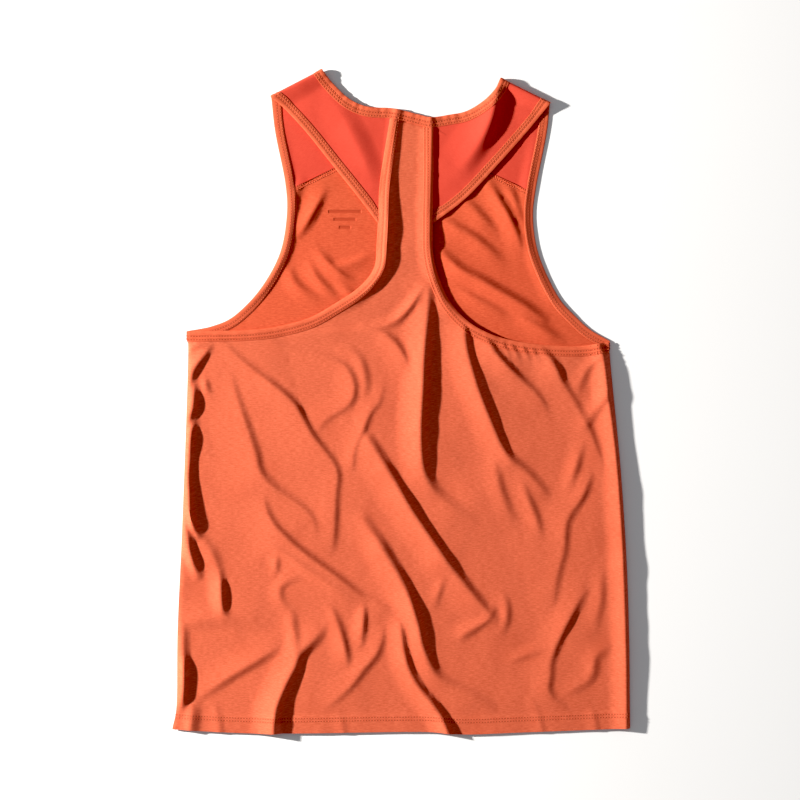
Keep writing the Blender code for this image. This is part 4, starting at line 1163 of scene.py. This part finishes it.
def bars_group():
    """Three plain bars pressed into the cloth, each shorter than the one above it, as a mask."""
    tree, given, _ = new_tree(
        "Pressed bars", "ShaderNodeTree", (("Vector", "Vector", None),), ("Mark", "Float"))
    place = put(tree, "ShaderNodeSeparateXYZ", {"Vector": given["Vector"]}).outputs
    sum_of = functools.partial(step, tree)
    x = sum_of("ABSOLUTE", sum_of("SUBTRACT", place["X"], BAR_PLACE[0] / METRE))
    y = sum_of("DIVIDE", sum_of("SUBTRACT", BAR_PLACE[1] / METRE, place["Y"]), BAR_PITCH / METRE)
    row = sum_of("MINIMUM", sum_of("MAXIMUM", sum_of("ROUND", y), 0.0), BAR_COUNT - 1.0)
    away = sum_of("MULTIPLY", sum_of("ABSOLUTE", sum_of("SUBTRACT", y, row)), BAR_PITCH / METRE)
    half_length = sum_of("SUBTRACT", BAR_LENGTH / 2 / METRE, sum_of("MULTIPLY", row, BAR_SHRINK / METRE))
    rooms = sum_of("SUBTRACT", half_length, x), sum_of("SUBTRACT", BAR_WIDTH / 2 / METRE, away)
    soft = (mapped(tree, room, high=BAR_EDGE / METRE) for room in rooms)
    put(tree, "NodeGroupOutput", {"Mark": sum_of("MULTIPLY", *soft)})
    return tree


GROUPS = {
    "streaks": streak_group(), "threads": weave_group(), "mottle": mottle_group(), "bars": bars_group(),
}


def use(tree, label, place, values):
    """A shared effect at these places, with its own values."""
    return put(tree, "ShaderNodeGroup", {"Vector": place, **values}, node_tree=GROUPS[label])


def blend_colours(tree, factor, first, second, low=0.0, high=1.0):
    """A colour between two as the factor goes from low to high."""
    first, second = ((*colour, 1) if isinstance(colour, tuple) else colour for colour in (first, second))
    inputs = {"Factor": mapped(tree, factor, low, high), "A": first, "B": second}
    return put(tree, "ShaderNodeMix", inputs, data_type="RGBA").outputs["Result"]


def row_mask(tree, distance, row):
    """One along a row of stitches at this distance from an edge, and nothing past its width."""
    away = step(tree, "ABSOLUTE", step(tree, "SUBTRACT", distance, row / METRE))
    return mapped(tree, away, ROW_WIDTH / METRE, 0.0)


def darker(colour, share):
    return tuple(share * part for part in colour)


def new_material(name):
    material = bpy.data.materials.new(name)
    material.use_nodes = True
    return material, material.node_tree, material.node_tree.nodes["Principled BSDF"]


def cloth_material(name, dark, light, streak, pitch, depth, roughness, sheen, painted_shade_at=None, marked=False):
    """A dyed cloth: two yarn shades in streaks, a soft mottle and a grid of threads in relief. The attribute
    given for stitching tells where stitches pull the cloth down, and there the colour is darkened as painted
    shade in the dip: a share in "groove", and a distance from the seam in "row_place". Marked cloth has the
    pressed bars."""
    material, tree, shader = new_material(name)
    place = put(tree, "ShaderNodeUVMap", {}, uv_map="Cut")
    length, height = streak
    streaks = use(tree, "streaks", place, {"Streak length": length, "Streak height": height})
    fine = use(tree, "streaks", place, {
        "Streak length": length / 2, "Streak height": height * FINE_SHARE, "Seed": 3.0,
    })
    mottle = use(tree, "mottle", place, {"Size": MOTTLE_SIZE})
    threads = use(tree, "threads", place, {"Across": pitch[0], "Along": pitch[1]})
    yarn = blend_colours(tree, streaks, dark, light, *YARN_BLEND)
    finer = blend_colours(tree, fine, dark, yarn, *FINE_BLEND)
    shade = blend_colours(tree, mottle, dark, finer, *MOTTLE_BLEND)
    if painted_shade_at:
        painted_row_shade = put(tree, "ShaderNodeAttribute", {}, attribute_name=painted_shade_at).outputs["Fac"]
        if painted_shade_at == "row_place":
            painted_row_shade = step(tree, "ADD", *(row_mask(tree, painted_row_shade, row) for row in HEM_ROWS))
        # painted shade: the colour darkens along stitch grooves and rows, where shade falls in the dip under
        # the thread
        shade = blend_colours(tree, painted_row_shade, shade, darker(dark, STITCH_PAINTED_SHADE))
    rough = mapped(tree, streaks, to_low=roughness - UNEVEN_GLOSS, to_high=roughness + UNEVEN_GLOSS)
    normal = put(tree, "ShaderNodeBump", {"Strength": THREAD_RELIEF, "Distance": depth, "Height": threads})
    normal = put(tree, "ShaderNodeBump", {
        "Strength": YARN_RELIEF, "Distance": depth, "Height": fine, "Normal": normal,
    })
    if marked:
        spot = put(tree, "ShaderNodeTexCoord", {}).outputs["Object"]
        bars = use(tree, "bars", spot, {})
        shade = blend_colours(tree, bars, shade, darker(dark, BAR_SHADE))
        normal = put(tree, "ShaderNodeBump", {
            "Distance": BAR_DEPTH / METRE, "Height": bars, "Normal": normal,
        }, invert=True)
    give(tree, shader, {
        "Base Color": shade, "Roughness": rough, "Normal": normal, "Sheen Weight": sheen,
        "Sheen Roughness": 0.5, "Sheen Tint": (*light, 1), "Specular IOR Level": SPECULAR,
    })
    return material


def floor_material():
    material, tree, shader = new_material("Pale board")
    place = put(tree, "ShaderNodeTexCoord", {}).outputs["Object"]
    mottle = use(tree, "mottle", place, {"Size": 0.4})
    colour = blend_colours(tree, mottle, FLOOR_DARK, FLOOR_LIGHT)
    give(tree, shader, {"Base Color": colour, "Roughness": 0.9})
    return material


# ------------------------------------------------------------------ setting
def add_floor():
    mesh = bpy.data.meshes.new("floor")
    signs = ((-1, -1), (1, -1), (1, 1), (-1, 1))
    corners = [(x * FLOOR_REACH, y * FLOOR_REACH, FLOOR_LEVEL) for x, y in signs]
    mesh.from_pydata(corners, [], [(0, 1, 2, 3)])
    mesh.materials.append(floor_material())
    add_object("floor", mesh)


def add_lights():
    """One low key light from the left and a little from the shoulders' end, and an even pale surround."""
    key = bpy.data.lights.new("key", "POINT")
    key.energy = LIGHT_STRENGTH * 4 * math.pi * LIGHT_DISTANCE**2
    key.shadow_soft_size = LIGHT_RADIUS
    key.color = LIGHT_COLOUR
    add_object("key", key).location = LIGHT_DISTANCE * Vector((
        -math.cos(LIGHT_HEIGHT) * math.cos(LIGHT_TURN),
        -math.cos(LIGHT_HEIGHT) * math.sin(LIGHT_TURN),
        math.sin(LIGHT_HEIGHT),
    ))
    world = bpy.data.worlds.new("surround")
    world.use_nodes = True
    give(world.node_tree, world.node_tree.nodes["Background"], {
        "Color": (*SURROUND_COLOUR, 1), "Strength": SURROUND_STRENGTH,
    })
    bpy.context.scene.world = world


def add_camera():
    """Straight above the garment, with its outline a little inside the frame."""
    low, high = (Vector(corner) for corner in cad_box)
    middle = (low + high) / 2
    camera = bpy.data.cameras.new("camera")
    camera.sensor_width = 36.0
    camera.lens = camera.sensor_width * CAMERA_HEIGHT / (VIEW_MARGIN * (high.y - low.y))
    camera.clip_end = 50
    eye = add_object("camera", camera)
    eye.location = (middle.x + CAMERA_PLACE[0], middle.y + CAMERA_PLACE[1], CAMERA_HEIGHT)
    bpy.context.scene.camera = eye


def set_exposure():
    """Deep shadows, as a camera records them in hard light."""
    view = bpy.context.scene.view_settings
    view.view_transform = "Standard"
    view.use_curve_mapping = True
    view.curve_mapping.black_level = BLACK_LEVEL
    view.curve_mapping.update()


# ------------------------------------------------------------------ making
# streak: length and height; pitch: threads across and along; depth: of the relief; all in metres
KNIT_LOOK = {
    "streak": (0.007, 0.0011), "pitch": (0.0012, 0.0010), "depth": 0.00010, "roughness": 0.75,
    "sheen": 0.06, "painted_shade_at": "row_place",
}
KNIT = cloth_material("Heathered knit", (0.55, 0.104, 0.047), (0.70, 0.158, 0.077), **KNIT_LOOK)
# a darker, redder copy of the knit, for the front layer that shows through the armholes
INSIDE = cloth_material(
    "Heathered knit inside", (0.54, 0.082, 0.034), (0.68, 0.126, 0.055), marked=True, **KNIT_LOOK)
WOVEN = cloth_material(
    "Coral weave", (0.59, 0.068, 0.038), (0.66, 0.086, 0.050), streak=(0.006, 0.0006),
    pitch=(0.0006, 0.0006), depth=0.00003, roughness=0.75, sheen=0.05)
TRIM = cloth_material(
    "Binding knit", (0.60, 0.107, 0.046), (0.73, 0.148, 0.068), streak=(0.006, 0.0009),
    pitch=(0.0009, 0.0008), depth=0.00008, roughness=0.72, sheen=0.05, painted_shade_at="groove")
THREAD = cloth_material(
    "Sewing thread", (0.72, 0.140, 0.060), (0.84, 0.190, 0.090), streak=(0.002, 0.0006),
    pitch=(0.0004, 0.0004), depth=0.00004, roughness=0.55, sheen=0.05)


def settle(piece, material, slot, flat, rests_on, *nodes):
    """Gives a cloth piece its material and its body, and hides the solids that it stands for."""
    piece.data.materials.append(material)
    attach(piece, "root")
    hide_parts(*nodes)


def main():
    back_neck, front_neck = neck_plan()
    plans = {side: side_plan(side, back_neck[1]) for side in SIDES}
    edges = {side: yoke_edges(side, plans[side], back_neck, front_neck) for side in SIDES}
    add_floor()
    add_lights()
    add_camera()

    front = make_front_panel(plans, front_neck, edges)
    settle(front, INSIDE, "knit_heather", (0.522, 0.655), (), "front_panel")
    back = make_back_panel(plans, back_neck)
    settle(back, KNIT, "knit_heather", (0.535, 0.710), (front,), "back_panel")
    neck = make_neck_binding(back_neck, front_neck)
    settle(neck, TRIM, "binding_knit", (0.0125, 0.62), (), "neck_binding")
    for side, plan in plans.items():
        yoke = make_yoke(side, edges[side])
        settle(yoke, WOVEN, "yoke_woven", (0.115, 0.27), (), f"yoke_{side}")
        band = make_front_binding(side, plan)
        settle(band, TRIM, "binding_knit", (0.0125, 0.56), (), f"binding_front_{side}")
        band = make_back_binding(side, plan)
        settle(band, TRIM, "binding_knit", (0.0135, 0.46), (), f"binding_back_{side}")

    tree, sockets = stitch_tree()
    for seed, (name, lines, pitch) in enumerate((
        ("binding_stitches", binding_seams(plans, back_neck), STITCH_PITCH),
        ("hem_stitches", hem_seams(), STITCH_PITCH),
        ("yoke_stitches", yoke_seams(edges), YOKE_PITCH),
    ), 1):
        stitches = sew(name, lines, tree, sockets, THREAD, seed, pitch)
        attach(stitches, "root")

    set_exposure()


main()
